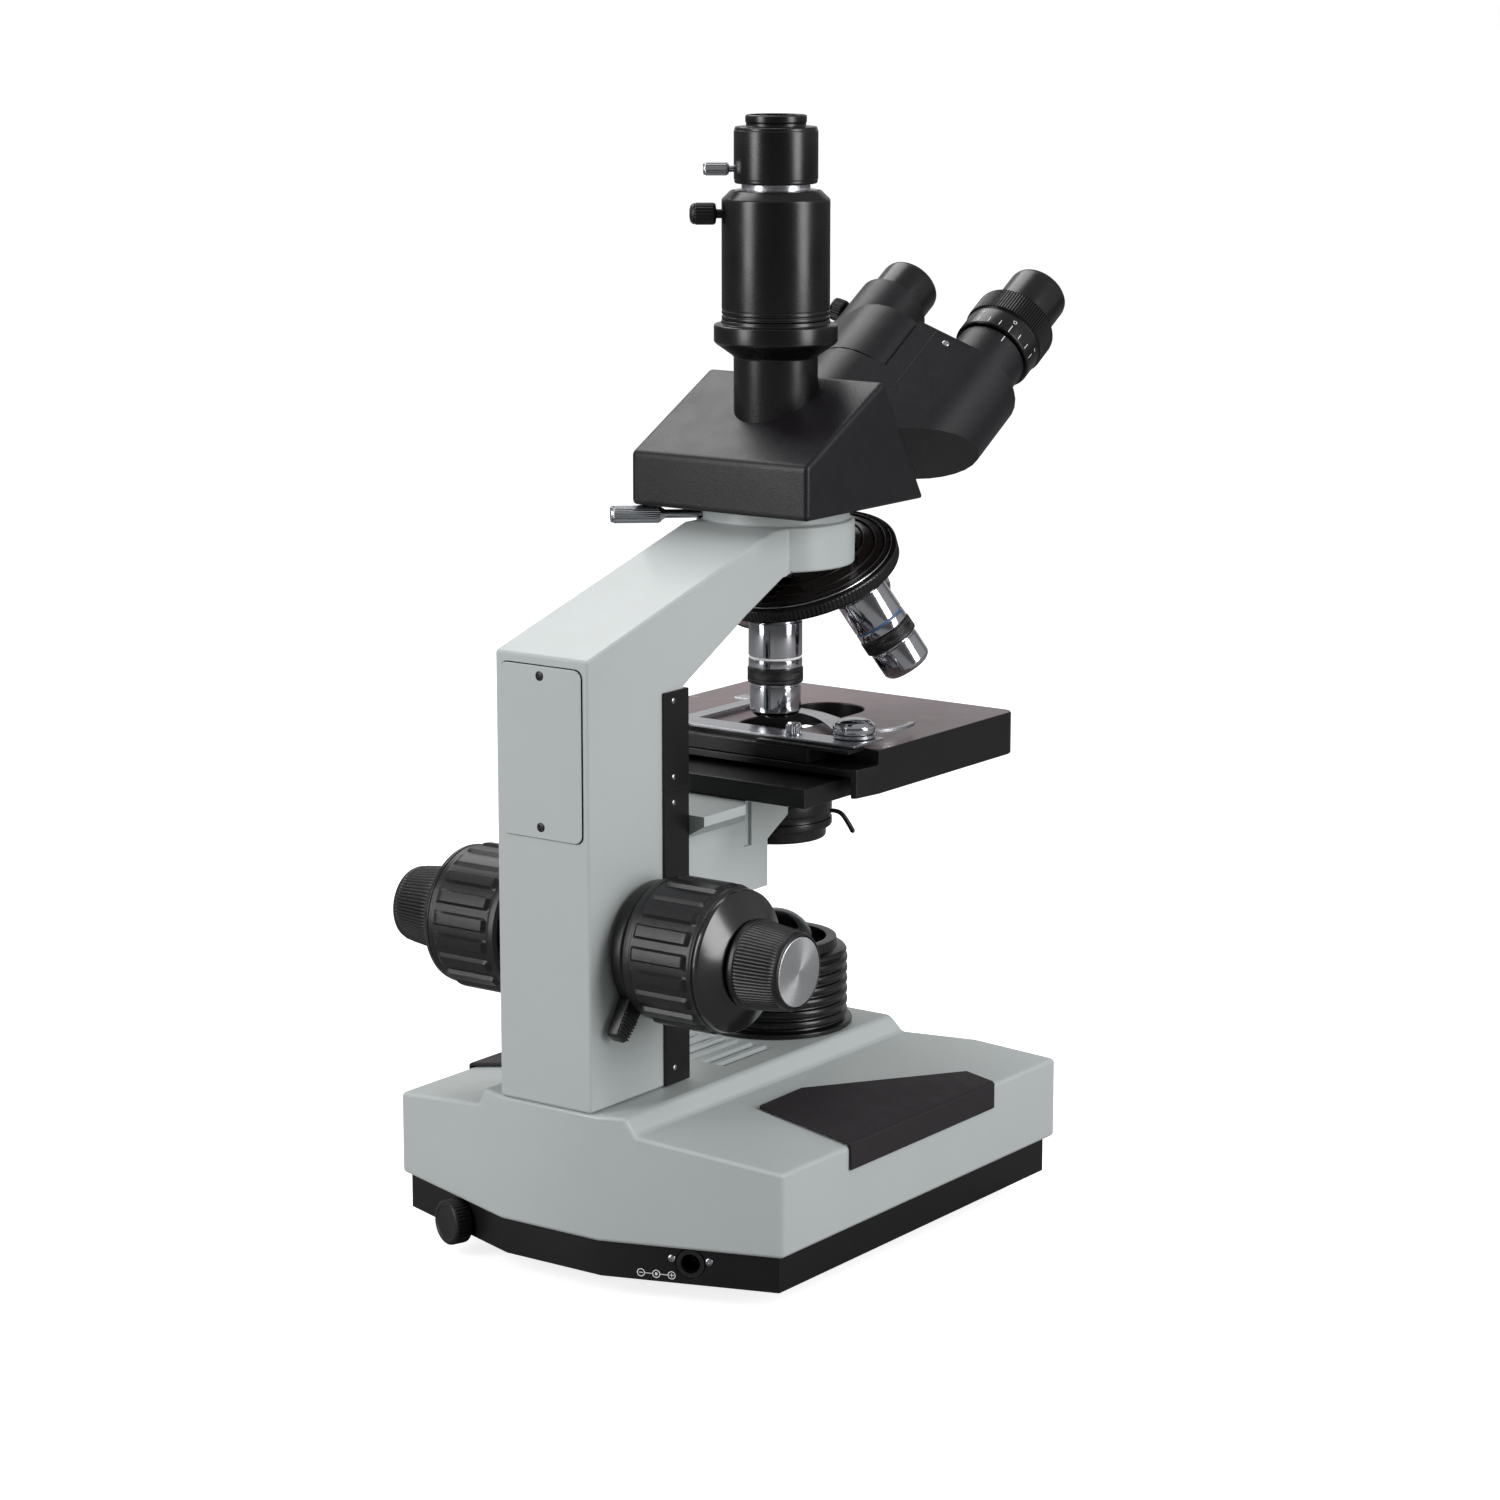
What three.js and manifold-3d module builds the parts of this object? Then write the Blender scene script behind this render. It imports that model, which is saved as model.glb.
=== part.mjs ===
// Trinocular compound microscope: stand, coaxial focus drive, mechanical stage, condenser,
// revolving nosepiece with four objectives, binocular head and a vertical camera port.
// Millimetres, +Z up, +X to the user's right, -Y towards the user. While it is being built
// the optical axis is the Z axis; the finished group is centred on its footprint.
import * as THREE from 'three';
import { mergeVertices } from 'three/addons/utils/BufferGeometryUtils.js';
import Module from 'manifold-3d';

const wasm = await Module();
wasm.setup();

const { PI, sin, cos } = Math;
const rad = THREE.MathUtils.degToRad;

// ---- driving dimensions ----

const GAP = 0.3; // between pieces that touch
const CENTRE_Y = -0.45; // middle of the footprint, measured from the optical axis

const BASE = {
  footHeight: 8, panTop: 22.1, coverBottom: 22.4, wall: 3, panInset: 3, rearY: 149.5,
  halfWidth: 92.9, edgeTop: 55.4, ridgeFootX: 38, ridgeFootTop: 65, ridgeX: 34, ridgeTop: 72,
};
const LAMP_HOLE_RADIUS = 22;
const INLET_AT = [-56.8, 135, 16.2];
const DIAL_AT = [53, 136.3, 13];
const FEET = {
  foot_front_left: [-60, -32], foot_front_right: [60, -32],
  foot_rear_left: [-54, 100], foot_rear_right: [54, 100],
};
const ARM = {
  halfWidth: 21.9, front: 91, back: 150.3, bottom: 72.3, backTop: 245.4, stripSplit: 188,
  headTop: 279.5, headBottom: 261.6, headRadius: 31.6, lipTop: 284.6, lipRadius: 29.5,
};
const FOCUS = {
  y: 115.4, z: 131, end: 92.8, boreRadius: 5.6, shaftRadius: 5.2, fineRadius: 2.8,
  knobRadius: 28.7, ringRadius: 25.5, pinionPitch: 6.2, teeth: 12, leverTurn: rad(50),
};
const STAGE = { top: 195.3, bottom: 178, halfX: 64, front: -80, back: 20, slotHalf: 14.5 };
const FINGER_AT = [-48, 14, 0];
const KNOB_STACK_AT = [55, -6, 0];
const CONDENSER = { irisTurn: rad(215), knobY: 38, knobZ: 146 };
const NOSE = { apexZ: 300, tilt: rad(24), shoulder: 60, rimRadius: 39.4 };
const OBJECTIVES = [ // in the order round the turret, the first over the stage
  { name: 'objective_100x', length: 41 },
  { name: 'objective_40x', length: 39 },
  { name: 'objective_10x', length: 30 },
  { name: 'objective_4x', length: 19 },
];
const HEAD = {
  bottom: 285.3, halfWidth: 42.6, back: 39.2, backTop: 306.7, peakY: -14, peakZ: 335.4,
  frontY: -43.7, incline: rad(32), hingeW: 245, faceS: 189, tubeX: 32, armDrop: rad(28),
  clampZ: 281.2, clampTurn: rad(-50),
};
const WING = { front: 61.5, layer: 32, radius: 21.5 };
const PORT = {
  tubeRadius: 16.7, ringRadius: 24.5, bodyRadius: 21.4, adapterRadius: 16.6, screwTurn: rad(-54.3),
  bodyBottom: 358.5, lockZ: 399.5, thumbZ: 417,
};

const FINISH = {
  paint: [0xb4bab9, 0.45, 0.0], black: [0x2a272a, 0.5, 0.0], rubber: [0x302b2f, 0.85, 0.0],
  gloss: [0x1c1a1c, 0.25, 0.0], chrome: [0xd8dadc, 0.15, 1.0], alloy: [0xc0c2c4, 0.35, 1.0],
  steel: [0x9a9ca0, 0.3, 1.0], glass: [0x8fa3ad, 0.05, 0.0], brass: [0xb08d45, 0.35, 1.0],
  stage: [0x6a6062, 0.6, 0.0],
};

// ---- geometry helpers ----

// A closed solid from a three.js geometry; an inside-out one is turned over.
function toSolid(geometry) {
  const bare = geometry.clone();
  bare.deleteAttribute('normal');
  bare.deleteAttribute('uv');
  const merged = mergeVertices(bare, 1e-4);
  const index = merged.index.array;
  const positions = Float32Array.from(merged.attributes.position.array);
  const triangles = [];
  let volume = 0;
  for (let i = 0; i < index.length; i += 3) {
    const corners = [index[i], index[i + 1], index[i + 2]];
    if (new Set(corners).size === 3) {
      triangles.push(corners);
      const [p, q, r] = corners.map((v) => new THREE.Vector3().fromArray(positions, 3 * v));
      volume += p.dot(q.cross(r));
    }
  }
  const facing = triangles.flatMap(([a, b, c]) => (volume > 0 ? [a, b, c] : [a, c, b]));
  const triVerts = Uint32Array.from(facing);
  return new wasm.Manifold(new wasm.Mesh({ numProp: 3, vertProperties: positions, triVerts }));
}

function toGeometry(solid) {
  const { vertProperties, triVerts } = solid.getMesh();
  const geometry = new THREE.BufferGeometry();
  geometry.setAttribute('position', new THREE.BufferAttribute(Float32Array.from(vertProperties), 3));
  geometry.setIndex(new THREE.BufferAttribute(Uint32Array.from(triVerts), 1));
  geometry.computeVertexNormals();
  return geometry;
}

function combine(method, first, others) {
  return toGeometry(others.reduce((solid, other) => solid[method](toSolid(other)), toSolid(first)));
}
const join = (first, ...others) => combine('add', first, others);
const cut = (first, ...others) => combine('subtract', first, others);
const common = (first, ...others) => combine('intersect', first, others);

const box = (x0, x1, y0, y1, z0, z1) => new THREE.BoxGeometry(x1 - x0, y1 - y0, z1 - z0)
  .translate((x0 + x1) / 2, (y0 + y1) / 2, (z0 + z1) / 2);

// A round body about Z from [radius, height] pairs that start and end on the axis.
const turned = (profile, segments = 24) => new THREE.LatheGeometry(
  profile.map(([r, z]) => new THREE.Vector2(r, z)), segments).rotateX(PI / 2);
const rod = (radius, z0, z1, segments = 20) => turned(
  [[0, z0], [radius, z0], [radius, z1], [0, z1]], segments);
const tube = (inner, outer, z0, z1, segments = 24) => turned(
  [[inner, z0], [outer, z0], [outer, z1], [inner, z1], [inner, z0]], segments);

const outline = (points) => new THREE.Shape(points.map(([x, y]) => new THREE.Vector2(x, y)));
// A plan in (X, Y) raised from z0 to z1.
const pillar = (points, z0, z1) => new THREE.ExtrudeGeometry(outline(points),
  { depth: z1 - z0, bevelEnabled: false, steps: 1 }).translate(0, 0, z0);
// A side view in (Y, Z) carried from x0 to x1.
const sideways = (points, x0, x1) => pillar(points, x0, x1).applyMatrix4(
  new THREE.Matrix4().set(0, 0, 1, 0, 1, 0, 0, 0, 0, 1, 0, 0, 0, 0, 0, 1));
// A front view in (X, Z) carried from y0 to y1.
const lengthways = (points, y0, y1) => pillar(points, -y1, -y0).rotateX(PI / 2);

const alongX = (geometry) => geometry.rotateY(PI / 2);
const alongY = (geometry) => geometry.rotateX(-PI / 2);

// A closed outline moved inwards by a distance, corner by corner (counter-clockwise points).
function inset(points, distance) {
  const edges = points.map((p, i) => {
    const q = points[(i + 1) % points.length];
    const length = Math.hypot(q[0] - p[0], q[1] - p[1]);
    const n = [-(q[1] - p[1]) / length, (q[0] - p[0]) / length];
    return { n, c: n[0] * p[0] + n[1] * p[1] + distance };
  });
  return points.map((_, i) => {
    const a = edges[(i + points.length - 1) % points.length];
    const b = edges[i];
    const det = a.n[0] * b.n[1] - a.n[1] * b.n[0];
    return [(a.c * b.n[1] - b.c * a.n[1]) / det, (a.n[0] * b.c - b.n[0] * a.c) / det];
  });
}

// Points of an arc, angles in degrees.
function arc(cx, cy, radius, from, to, steps) {
  return Array.from({ length: steps + 1 }, (_, i) => {
    const a = rad(from + (to - from) * i / steps);
    return [cx + radius * cos(a), cy + radius * sin(a)];
  });
}

// A toothed or ribbed outline: every tooth rises from the root to the tip radius.
function toothed(teeth, root, tip, rootShare, tipShare) {
  const points = [];
  const pitch = 2 * PI / teeth;
  for (let i = 0; i < teeth; i += 1) {
    const corners = [[root, -rootShare], [tip, -tipShare], [tip, tipShare], [root, rootShare]];
    for (const [radius, share] of corners) {
      const angle = (i + share / 2) * pitch;
      points.push([radius * cos(angle), radius * sin(angle)]);
    }
  }
  return points;
}

const mirrored = (geometry) => geometry.clone().scale(-1, 1, 1);
const bothSides = (points) => [...points, ...points.map(([x, y]) => [-x, y]).reverse()];

// ---- scene graph helpers ----

const microscope = new THREE.Group();

function place(parent, x, y, z, rx = 0, ry = 0, rz = 0) {
  const group = new THREE.Group();
  group.position.set(x, y, z);
  group.rotation.set(rx, ry, rz);
  parent.add(group);
  return group;
}

function part(parent, name, geometry, finish) {
  const [color, roughness, metalness] = FINISH[finish];
  const mesh = new THREE.Mesh(toGeometry(toSolid(geometry)),
    new THREE.MeshStandardMaterial({ color, roughness, metalness }));
  mesh.name = name;
  parent.add(mesh);
  return mesh;
}

// ---- base ----

const basePlan = [
  [BASE.halfWidth, 126], [23.5, BASE.rearY], [-23.5, BASE.rearY], [-BASE.halfWidth, 126],
  [-BASE.halfWidth, -68], [-61, -57], [-34, -35], [34, -35], [61, -57], [BASE.halfWidth, -68],
];
const chamferAngle = Math.atan2(126 - BASE.rearY, BASE.halfWidth - 23.5); // of the right rear corner

function coverSection(drop) {
  const { halfWidth, edgeTop, ridgeFootX, ridgeFootTop, ridgeX, ridgeTop } = BASE;
  return bothSides([
    [halfWidth + 1, 0], [halfWidth + 1, edgeTop - drop - 0.17],
    [ridgeFootX, ridgeFootTop - drop], [ridgeX, ridgeTop - drop],
  ]);
}

function makeBase() {
  const shell = common(pillar(basePlan, BASE.coverBottom, 90), lengthways(coverSection(0), -90, 170));
  const hollow = common(pillar(inset(basePlan, BASE.wall), 0, 90),
    lengthways(coverSection(BASE.wall), -90, 170));
  const vents = Array.from({ length: 7 }, (_, i) => box(7 * i - 22.1, 7 * i - 19.9, 34, 66, 60, 80));
  const lampHole = rod(LAMP_HOLE_RADIUS, 60, 80);
  part(microscope, 'base_cover', cut(shell, hollow, lampHole, ...vents), 'paint');

  const panPlan = inset(basePlan, BASE.panInset);
  const pan = pillar(panPlan, BASE.footHeight, BASE.panTop);
  const tray = pillar(inset(panPlan, 2.5), BASE.footHeight + 3, 40);
  const inletHole = alongY(rod(6, -10, 10, 20)).rotateZ(-chamferAngle).translate(...INLET_AT);
  const dialHole = alongY(rod(4, -10, 10, 16)).rotateZ(chamferAngle).translate(...DIAL_AT);
  part(microscope, 'base_pan', cut(pan, tray, inletHole, dialHole), 'black');

  const footTop = BASE.footHeight - GAP;
  const foot = turned([[0, 0], [7.5, 0], [9, 1.5], [9, 6], [10, footTop], [0, footTop]], 20);
  for (const [name, [x, y]] of Object.entries(FEET)) {
    part(place(microscope, x, y, 0), name, foot, 'rubber');
  }

  const slope = (BASE.ridgeFootTop - BASE.edgeTop) / (BASE.halfWidth - BASE.ridgeFootX);
  const wingTop = (x) => BASE.ridgeFootTop - slope * (x - BASE.ridgeFootX);
  const lift = GAP + 0.2;
  const padSection = [
    [49, wingTop(49) + lift], [93.2, wingTop(93.2) + lift], [93.2, 46.2], [94.2, 46.2],
    [94.2, 56.6], [93, 57.4], [49, wingTop(49) + lift + 1.3],
  ];
  const padPlan = [[50.4, 53.3], [80.7, -19.4], [96, -19.4], [96, 82.4], [51, 82.4]];
  const pad = common(lengthways(padSection, -30, 100), pillar(padPlan, 30, 80));
  part(microscope, 'wrist_pad_right', pad, 'rubber');
  part(microscope, 'wrist_pad_left', mirrored(pad), 'rubber');
}

// ---- power inlet and brightness dial, in the rear corner faces of the pan ----

function makeInletAndDial() {
  const inlet = place(microscope, ...INLET_AT, 0, 0, -chamferAngle);
  const jack = cut(join(alongY(rod(5.6, -6, 0.3, 20)), box(-6.5, 6.5, -15, -5.2, -5, 6)),
    alongY(rod(3.9, -10, 1, 16)));
  part(inlet, 'dc_inlet', jack, 'black');

  const dial = place(microscope, ...DIAL_AT, 0, 0, chamferAngle);
  const wheel = pillar(toothed(20, 8.3, 9, 0.7, 0.45), 0.9, 8.5).rotateX(-PI / 2);
  const spindle = alongY(rod(3, -9, 2, 16));
  part(dial, 'brightness_dial', join(wheel, spindle), 'black');
}

// ---- arm ----

function makeArm() {
  const { halfWidth, front, back, bottom, backTop, headTop, headBottom, headRadius, stripSplit } = ARM;
  const side = [
    [back, bottom], [back, backTop], [headRadius, headTop], [0, headTop], [0, headBottom],
    [22, headBottom], [49.7, 248.6], [front, 227], [front, bottom],
  ];
  const limb = sideways(side, -halfWidth, halfWidth);
  const head = rod(headRadius, headBottom, headTop, 32);
  const lip = rod(ARM.lipRadius, headTop - 1, ARM.lipTop, 32);
  const socket = rod(23, 272, 290, 28);
  const lightWay = rod(15, 250, 290, 24);
  const slot = box(-10, 10, front - 1, 101, 84, 216);
  const cavity = box(-15, 15, 100.3, 141, 84, 216);
  const shaftBore = alongX(rod(FOCUS.boreRadius, -30, 30, 20)).translate(0, FOCUS.y, FOCUS.z);
  const clampHole = alongY(rod(2.1, 20, 40, 12)).rotateZ(HEAD.clampTurn).translate(0, 0, HEAD.clampZ);
  const arm = cut(join(limb, head, lip), socket, lightWay, slot, cavity, shaftBore, clampHole);
  part(microscope, 'arm', arm, 'paint');

  const plateOutline = [
    ...arc(16, 238.5, 3, 0, 90, 3), ...arc(-16, 238.5, 3, 90, 180, 3),
    ...arc(-16, 179, 3, 180, 270, 3), ...arc(16, 179, 3, 270, 360, 3),
  ];
  const plate = lengthways(plateOutline, back + GAP, back + GAP + 0.8);
  part(microscope, 'arm_cover_plate', plate, 'paint');

  const outer = halfWidth + GAP;
  const stripPlan = [[outer, 105], [outer, front - GAP], [18.6, front - GAP], [18.6, front - 1.3],
    [outer + 1, front - 1.3], [outer + 1, 105]];
  const groove = join(box(outer + 0.6, 30, 80, 110, stripSplit - 0.5, stripSplit + 0.5),
    box(10, 30, 80, front - 0.9, stripSplit - 0.5, stripSplit + 0.5));
  const strip = cut(pillar(stripPlan, 72.6, 226.6), groove);
  part(microscope, 'guide_strip_right', strip, 'black');
  part(microscope, 'guide_strip_left', mirrored(strip), 'black');
}

// ---- lamp house on the base ----

function makeLamp() {
  const house = [[26.5, 72.3], [31.5, 72.3], [31.5, 74], [28, 74.4]];
  for (let i = 0; i < 6; i += 1) {
    const z = 75.6 + 4.4 * i;
    house.push([28, z], [29.5, z + 0.6], [29.5, z + 2.6], [28, z + 3.2]);
  }
  house.push([29.3, 102.4], [28.4, 103.6], [25.2, 104.4], [25, 108], [20.6, 108], [20.6, 101],
    [16.8, 100], [16.8, 97], [26.5, 97], [26.5, 72.3]);
  part(microscope, 'lamp_house', turned(house, 24), 'black');

  const dome = arc(0, 102.4, 16.4, 12, 78, 6);
  const lens = turned([[0, 97.4], [16.4, 97.4], [16.4, 102.4], ...dome, [0, 118.8]], 24);
  part(microscope, 'collector_lens', lens, 'glass');

  const module = [[0, 11.3], [16, 11.3], [16, 14], [6, 15], [6, 46], [17, 48], [17, 60], [8, 61],
    ...arc(0, 61, 5, 0, 80, 4), [0, 66]];
  part(microscope, 'lamp_module', turned(module, 24), 'alloy');
}

// ---- focus drive in the arm ----

function makeFocusDrive() {
  const axle = place(microscope, 0, FOCUS.y, FOCUS.z, 0, PI / 2, 0); // local Z runs along +X
  const { shaftRadius, fineRadius, knobRadius, ringRadius, end } = FOCUS;
  const pinion = pillar(toothed(FOCUS.teeth, 5.15, 7.1, 0.52, 0.22), -6, 6);
  const coarseShaft = cut(join(tube(3.2, shaftRadius, -36, 36, 24), pinion), rod(3.2, -8, 8, 24));
  part(axle, 'coarse_shaft', coarseShaft, 'steel');
  part(axle, 'fine_shaft', rod(fineRadius, -88, 88, 16), 'steel');

  const grips = pillar(toothed(20, 27.2, knobRadius, 0.8, 0.6), 33.4, 62);
  const core = turned([[shaftRadius + GAP, 30.2], [26, 30.2], [27.6, 32], [27.6, 64], [26.8, 66.5],
    [16.5, 70.5], [12, 70.5], [12, 66], [shaftRadius + GAP, 66], [shaftRadius + GAP, 30.2]], 24);
  const coarse = join(core, cut(grips, rod(20, 20, 80)));
  const fineCore = turned([[fineRadius + GAP, 66.8], [11.4, 66.8], [11.4, 71.2], [17, 71.4],
    [17.2, 74], [15.2, 90.8], [14.4, 92.4], [13.7, 92.8], [13.7, 91], [fineRadius + GAP, 91],
    [fineRadius + GAP, 66.8]], 24);
  const fineRibs = cut(pillar(toothed(24, 15, 15.8, 0.7, 0.4), 75, 89), rod(14, 60, 100));
  const fine = join(fineCore, fineRibs);
  const rightSide = place(axle, 0, 0, 0);
  const leftSide = place(axle, 0, 0, 0, 0, PI, 0);
  part(rightSide, 'coarse_knob_right', coarse, 'black');
  part(leftSide, 'coarse_knob_left', coarse, 'black');
  part(rightSide, 'fine_knob_right', join(fine, rod(14, 90, end)), 'black');
  part(leftSide, 'fine_knob_left', fine, 'black');
  part(leftSide, 'fine_cap_left', rod(13.4, 91.3, end, 24), 'alloy');

  const lockRing = join(tube(6.2, ringRadius, 23.6, 29.8, 28), box(-4.5, 4.5, 24, 40, 23.9, 29.4));
  const lockTurn = place(leftSide, 0, 0, 0, 0, 0, FOCUS.leverTurn); // the lever points down and back
  part(lockTurn, 'focus_lock_ring', lockRing, 'black');
  const tension = pillar(toothed(16, 24.3, ringRadius, 0.75, 0.5), 23.6, 29.8);
  part(axle, 'tension_ring', cut(tension, rod(6.2, 10, 40)), 'black');

  const slide = join(box(-9.5, 9.5, 91.3, 101.5, 112, 178), box(-14, 14, 100.8, 104.4, 112, 178));
  part(microscope, 'focus_slide', slide, 'steel');
  const pitch = 2 * PI * FOCUS.pinionPitch / FOCUS.teeth;
  const rack = [[104.7, 118], [104.7, 166], [107.6, 166]];
  for (let i = 14; i >= -4; i -= 1) {
    const z = FOCUS.z + (i - 0.5) * pitch;
    if (z < 164 && z > 121) {
      rack.push([107.6, z + 1.05], [109.9, z + 0.35], [109.9, z - 0.35], [107.6, z - 1.05]);
    }
  }
  rack.push([107.6, 118]);
  part(microscope, 'focus_rack', sideways(rack, -5, 5), 'brass');
}

// ---- stage ----

function makeStage() {
  const side = [[90.4, 137], [90.4, 176.8], [0, 176.8], [0, 172.5], [30.6, 156], [30.6, 137]];
  const flange = [[18, 46], [30, 62], [30, 89.2], [18, 89.2]];
  const flangeSection = [[0, 176.8], [30, 176.8], [30, 173], [18, 166], [0, 166]];
  const flangePlan = [[0, 46], ...flange, [0, 89.2]];
  const wingRight = common(pillar(flangePlan, 160, 180), lengthways(flangeSection, 40, 95));
  const slot = box(16.5, 19, 41.5, 46.5, 155.5, 173);
  const condenserSpace = rod(24.6, 100, 166.2, 28);
  const holder = tube(20.3, 24, 166.5, 176.8, 28);
  const knobHole = alongX(rod(2.6, 8, 30, 16)).translate(0, CONDENSER.knobY, CONDENSER.knobZ);
  const body = cut(join(sideways(side, -18, 18), wingRight, mirrored(wingRight)),
    slot, mirrored(slot), condenserSpace, rod(20.3, 100, 200, 28), knobHole);
  part(microscope, 'stage_carrier', join(body, holder), 'paint');

  const plate = cut(box(-54, 49.8, -44, 57, 177.1, 184.8), rod(22, 170, 190, 32));
  part(microscope, 'stage_base_plate', plate, 'black');

  const { top, bottom, halfX, front, back, slotHalf } = STAGE;
  const corner = 5;
  const plan = [
    [halfX, front + corner], [halfX, back], [halfX - 2, 33], [halfX - 6, 35.5], [6 - halfX, 35.5],
    [2 - halfX, 33], [-halfX, back], [-halfX, front + corner],
    ...arc(corner - halfX, front + corner, corner, 180, 270, 3),
    ...arc(halfX - corner, front + corner, corner, 270, 360, 3),
  ];
  const under = box(-60, 60, -77, 60, 170, 186.6);
  const slotPlan = [...arc(0, 0, slotHalf, 0, 180, 10), ...arc(0, -38, slotHalf, 180, 360, 10)];
  const shelf = box(-70, 70, 20.4, 40, 189.5, 200);
  const stageTop = cut(pillar(plan, bottom, top), under, pillar(slotPlan, 170, 200), shelf);
  part(microscope, 'stage_top_plate', stageTop, 'stage');

  const bar = join(box(-40, 40, 20.8, 34.5, 189.8, 195.2), box(-58, -14, 22, 33, 195, 196.4));
  part(microscope, 'x_carriage', bar, 'black');

  const holderPlan = [
    [-58, 29], [-58, 8], [-40, 8], [-40, 16.5], [26, 16.5], [26, -34], [40, -34], [40, -27], [33, -27],
    [33, 24], [20, 29],
  ];
  part(microscope, 'slide_holder', pillar(holderPlan, 196.7, 197.8), 'alloy');

  const pivot = place(microscope, ...FINGER_AT);
  const pivotProfile = [[0, 198.1], [4.5, 198.1], [4.5, 199.4], [8, 200.2], [8.5, 201.5],
    [8.2, 203.2], [6, 204.8], [0, 205.4]];
  part(pivot, 'finger_pivot', turned(pivotProfile, 20), 'chrome');
  const ring = tube(5, 8.4, 198.2, 199.4, 20);
  const fingerPlan = [...arc(14, -24, 22.5, 130, 205, 8), ...arc(14, -24, 20, 205, 130, 8)];
  const finger = cut(pillar(fingerPlan, 198.2, 199.4), rod(6, 190, 210));
  part(pivot, 'spring_finger', join(ring, finger), 'steel');

  const knobs = place(microscope, ...KNOB_STACK_AT);
  const yKnob = cut(pillar(toothed(20, 13.2, 14, 0.7, 0.4), 134, 150), rod(3.2, 100, 200));
  const yStem = tube(3.2, 4.6, 149, 186, 20);
  const xKnob = join(pillar(toothed(20, 10.2, 11, 0.7, 0.4), 116, 133), rod(2.6, 120, 186, 16));
  part(knobs, 'stage_y_knob', join(yKnob, yStem), 'black');
  part(knobs, 'stage_x_knob', xKnob, 'black');
}

// ---- condenser under the stage ----

function makeCondenser() {
  const body = turned([[10, 150], [20.5, 150], [20.5, 154.5], [23, 155], [23, 165.7], [20, 165.9],
    [20, 176.6], [14, 178], [13, 190], [10.5, 190], [10.5, 178], [10, 176], [10, 150]], 24);
  const sector = pillar([[0, 0], ...arc(0, 0, 40, -53, 68, 4)], 158.2, 160.9)
    .rotateZ(CONDENSER.irisTurn);
  const leverSlot = common(tube(19.6, 26, 158.2, 160.9), sector);
  part(microscope, 'condenser_body', cut(body, leverSlot), 'black');
  const lens = [[0, 178.3], [10.2, 178.3], [10.2, 189], ...arc(0, 166, 25.2, 68, 84, 3), [0, 191.4]];
  part(microscope, 'condenser_lens', turned(lens, 24), 'glass');

  const iris = place(microscope, 0, 0, 0, 0, 0, CONDENSER.irisTurn);
  const bend = [[21, 159.5], [24.5, 159.6], [27, 158], [30, 153.5], [32, 150.6]];
  const path = new THREE.CatmullRomCurve3(bend.map(([x, z]) => new THREE.Vector3(x, 0, z)));
  const section = outline(arc(0, 0, 0.9, 0, 315, 7));
  const lever = new THREE.ExtrudeGeometry(section, { extrudePath: path, steps: 8, bevelEnabled: false });
  part(iris, 'iris_lever', lever, 'black');

  const knob = alongX(join(pillar(toothed(16, 7.4, 8, 0.7, 0.4), 18.6, 27), rod(2.2, 9, 20, 16)));
  part(place(microscope, 0, CONDENSER.knobY, CONDENSER.knobZ), 'condenser_knob', knob, 'black');
}

// ---- revolving nosepiece ----

function objectiveProfile(length) {
  const s = NOSE.shoulder + GAP;
  const knurl = s + length * 0.48;
  return [
    [0, s - 4], [8.7, s - 4], [8.7, s], [10.2, s], [10.9, s + 1], [10.9, knurl], [11.3, knurl + 0.3],
    [11.3, knurl + 0.17 * length], [10.4, knurl + 0.18 * length], [10.3, knurl + 0.44 * length],
    [8.6, s + length * 0.97], [5.5, s + length], [0, s + length],
  ];
}

function makeNosepiece() {
  // local -Z runs down the turret's axis, from the point where all the objectives' axes meet
  const turretFrame = place(microscope, 0, 0, NOSE.apexZ, -NOSE.tilt, 0, 0);
  const down = (profile, segments) => turned(profile.map(([r, z]) => [r, -z]), segments);
  const slope = Math.tan(NOSE.tilt);
  const seat = (r) => NOSE.shoulder / cos(NOSE.tilt) - r * slope; // underside height at a radius
  const rim = NOSE.rimRadius;
  const turret = down([[0, 49.5], [15, 49.2], [30, 45.6], [37, 43.6], [rim - 0.4, 43.9], [rim, 44.4],
    [rim, 49.4], [rim - 1, seat(rim - 1)], [4, seat(4)], [0, seat(4)]], 32);
  const ways = OBJECTIVES.map((_, i) => down([[0, 40], [9, 40], [9, 70], [0, 70]], 16)
    .rotateX(NOSE.tilt).rotateZ(i * PI / 2));
  part(turretFrame, 'nosepiece_turret', cut(turret, ...ways), 'black');
  OBJECTIVES.forEach(({ name, length }, i) => {
    const turn = place(turretFrame, 0, 0, 0, 0, 0, i * PI / 2);
    const lean = place(turn, 0, 0, 0, NOSE.tilt, 0, 0);
    part(lean, name, down(objectiveProfile(length), 20), 'chrome');
  });

  const bell = down([[0, 24], [21, 24], [21, 34], [24, 38.6], [30, 41.6], [36.6, 43.1], [36.6, 43.2],
    [30, 45], [0, 48.5]], 28).rotateX(-NOSE.tilt).translate(0, 0, NOSE.apexZ);
  const underArm = ARM.headBottom - GAP;
  const above = join(rod(33, underArm, 300, 40), box(-40, 40, 0, 60, underArm, 300));
  const mount = cut(bell, above, rod(12, 230, 300, 24));
  part(microscope, 'nosepiece_mount', mount, 'gloss');
}

// ---- head ----

// where the hinge axis leaves the housing's front face
const inclined = {
  y: HEAD.hingeW * sin(HEAD.incline) - HEAD.faceS * cos(HEAD.incline),
  z: HEAD.faceS * sin(HEAD.incline) + HEAD.hingeW * cos(HEAD.incline),
};

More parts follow.
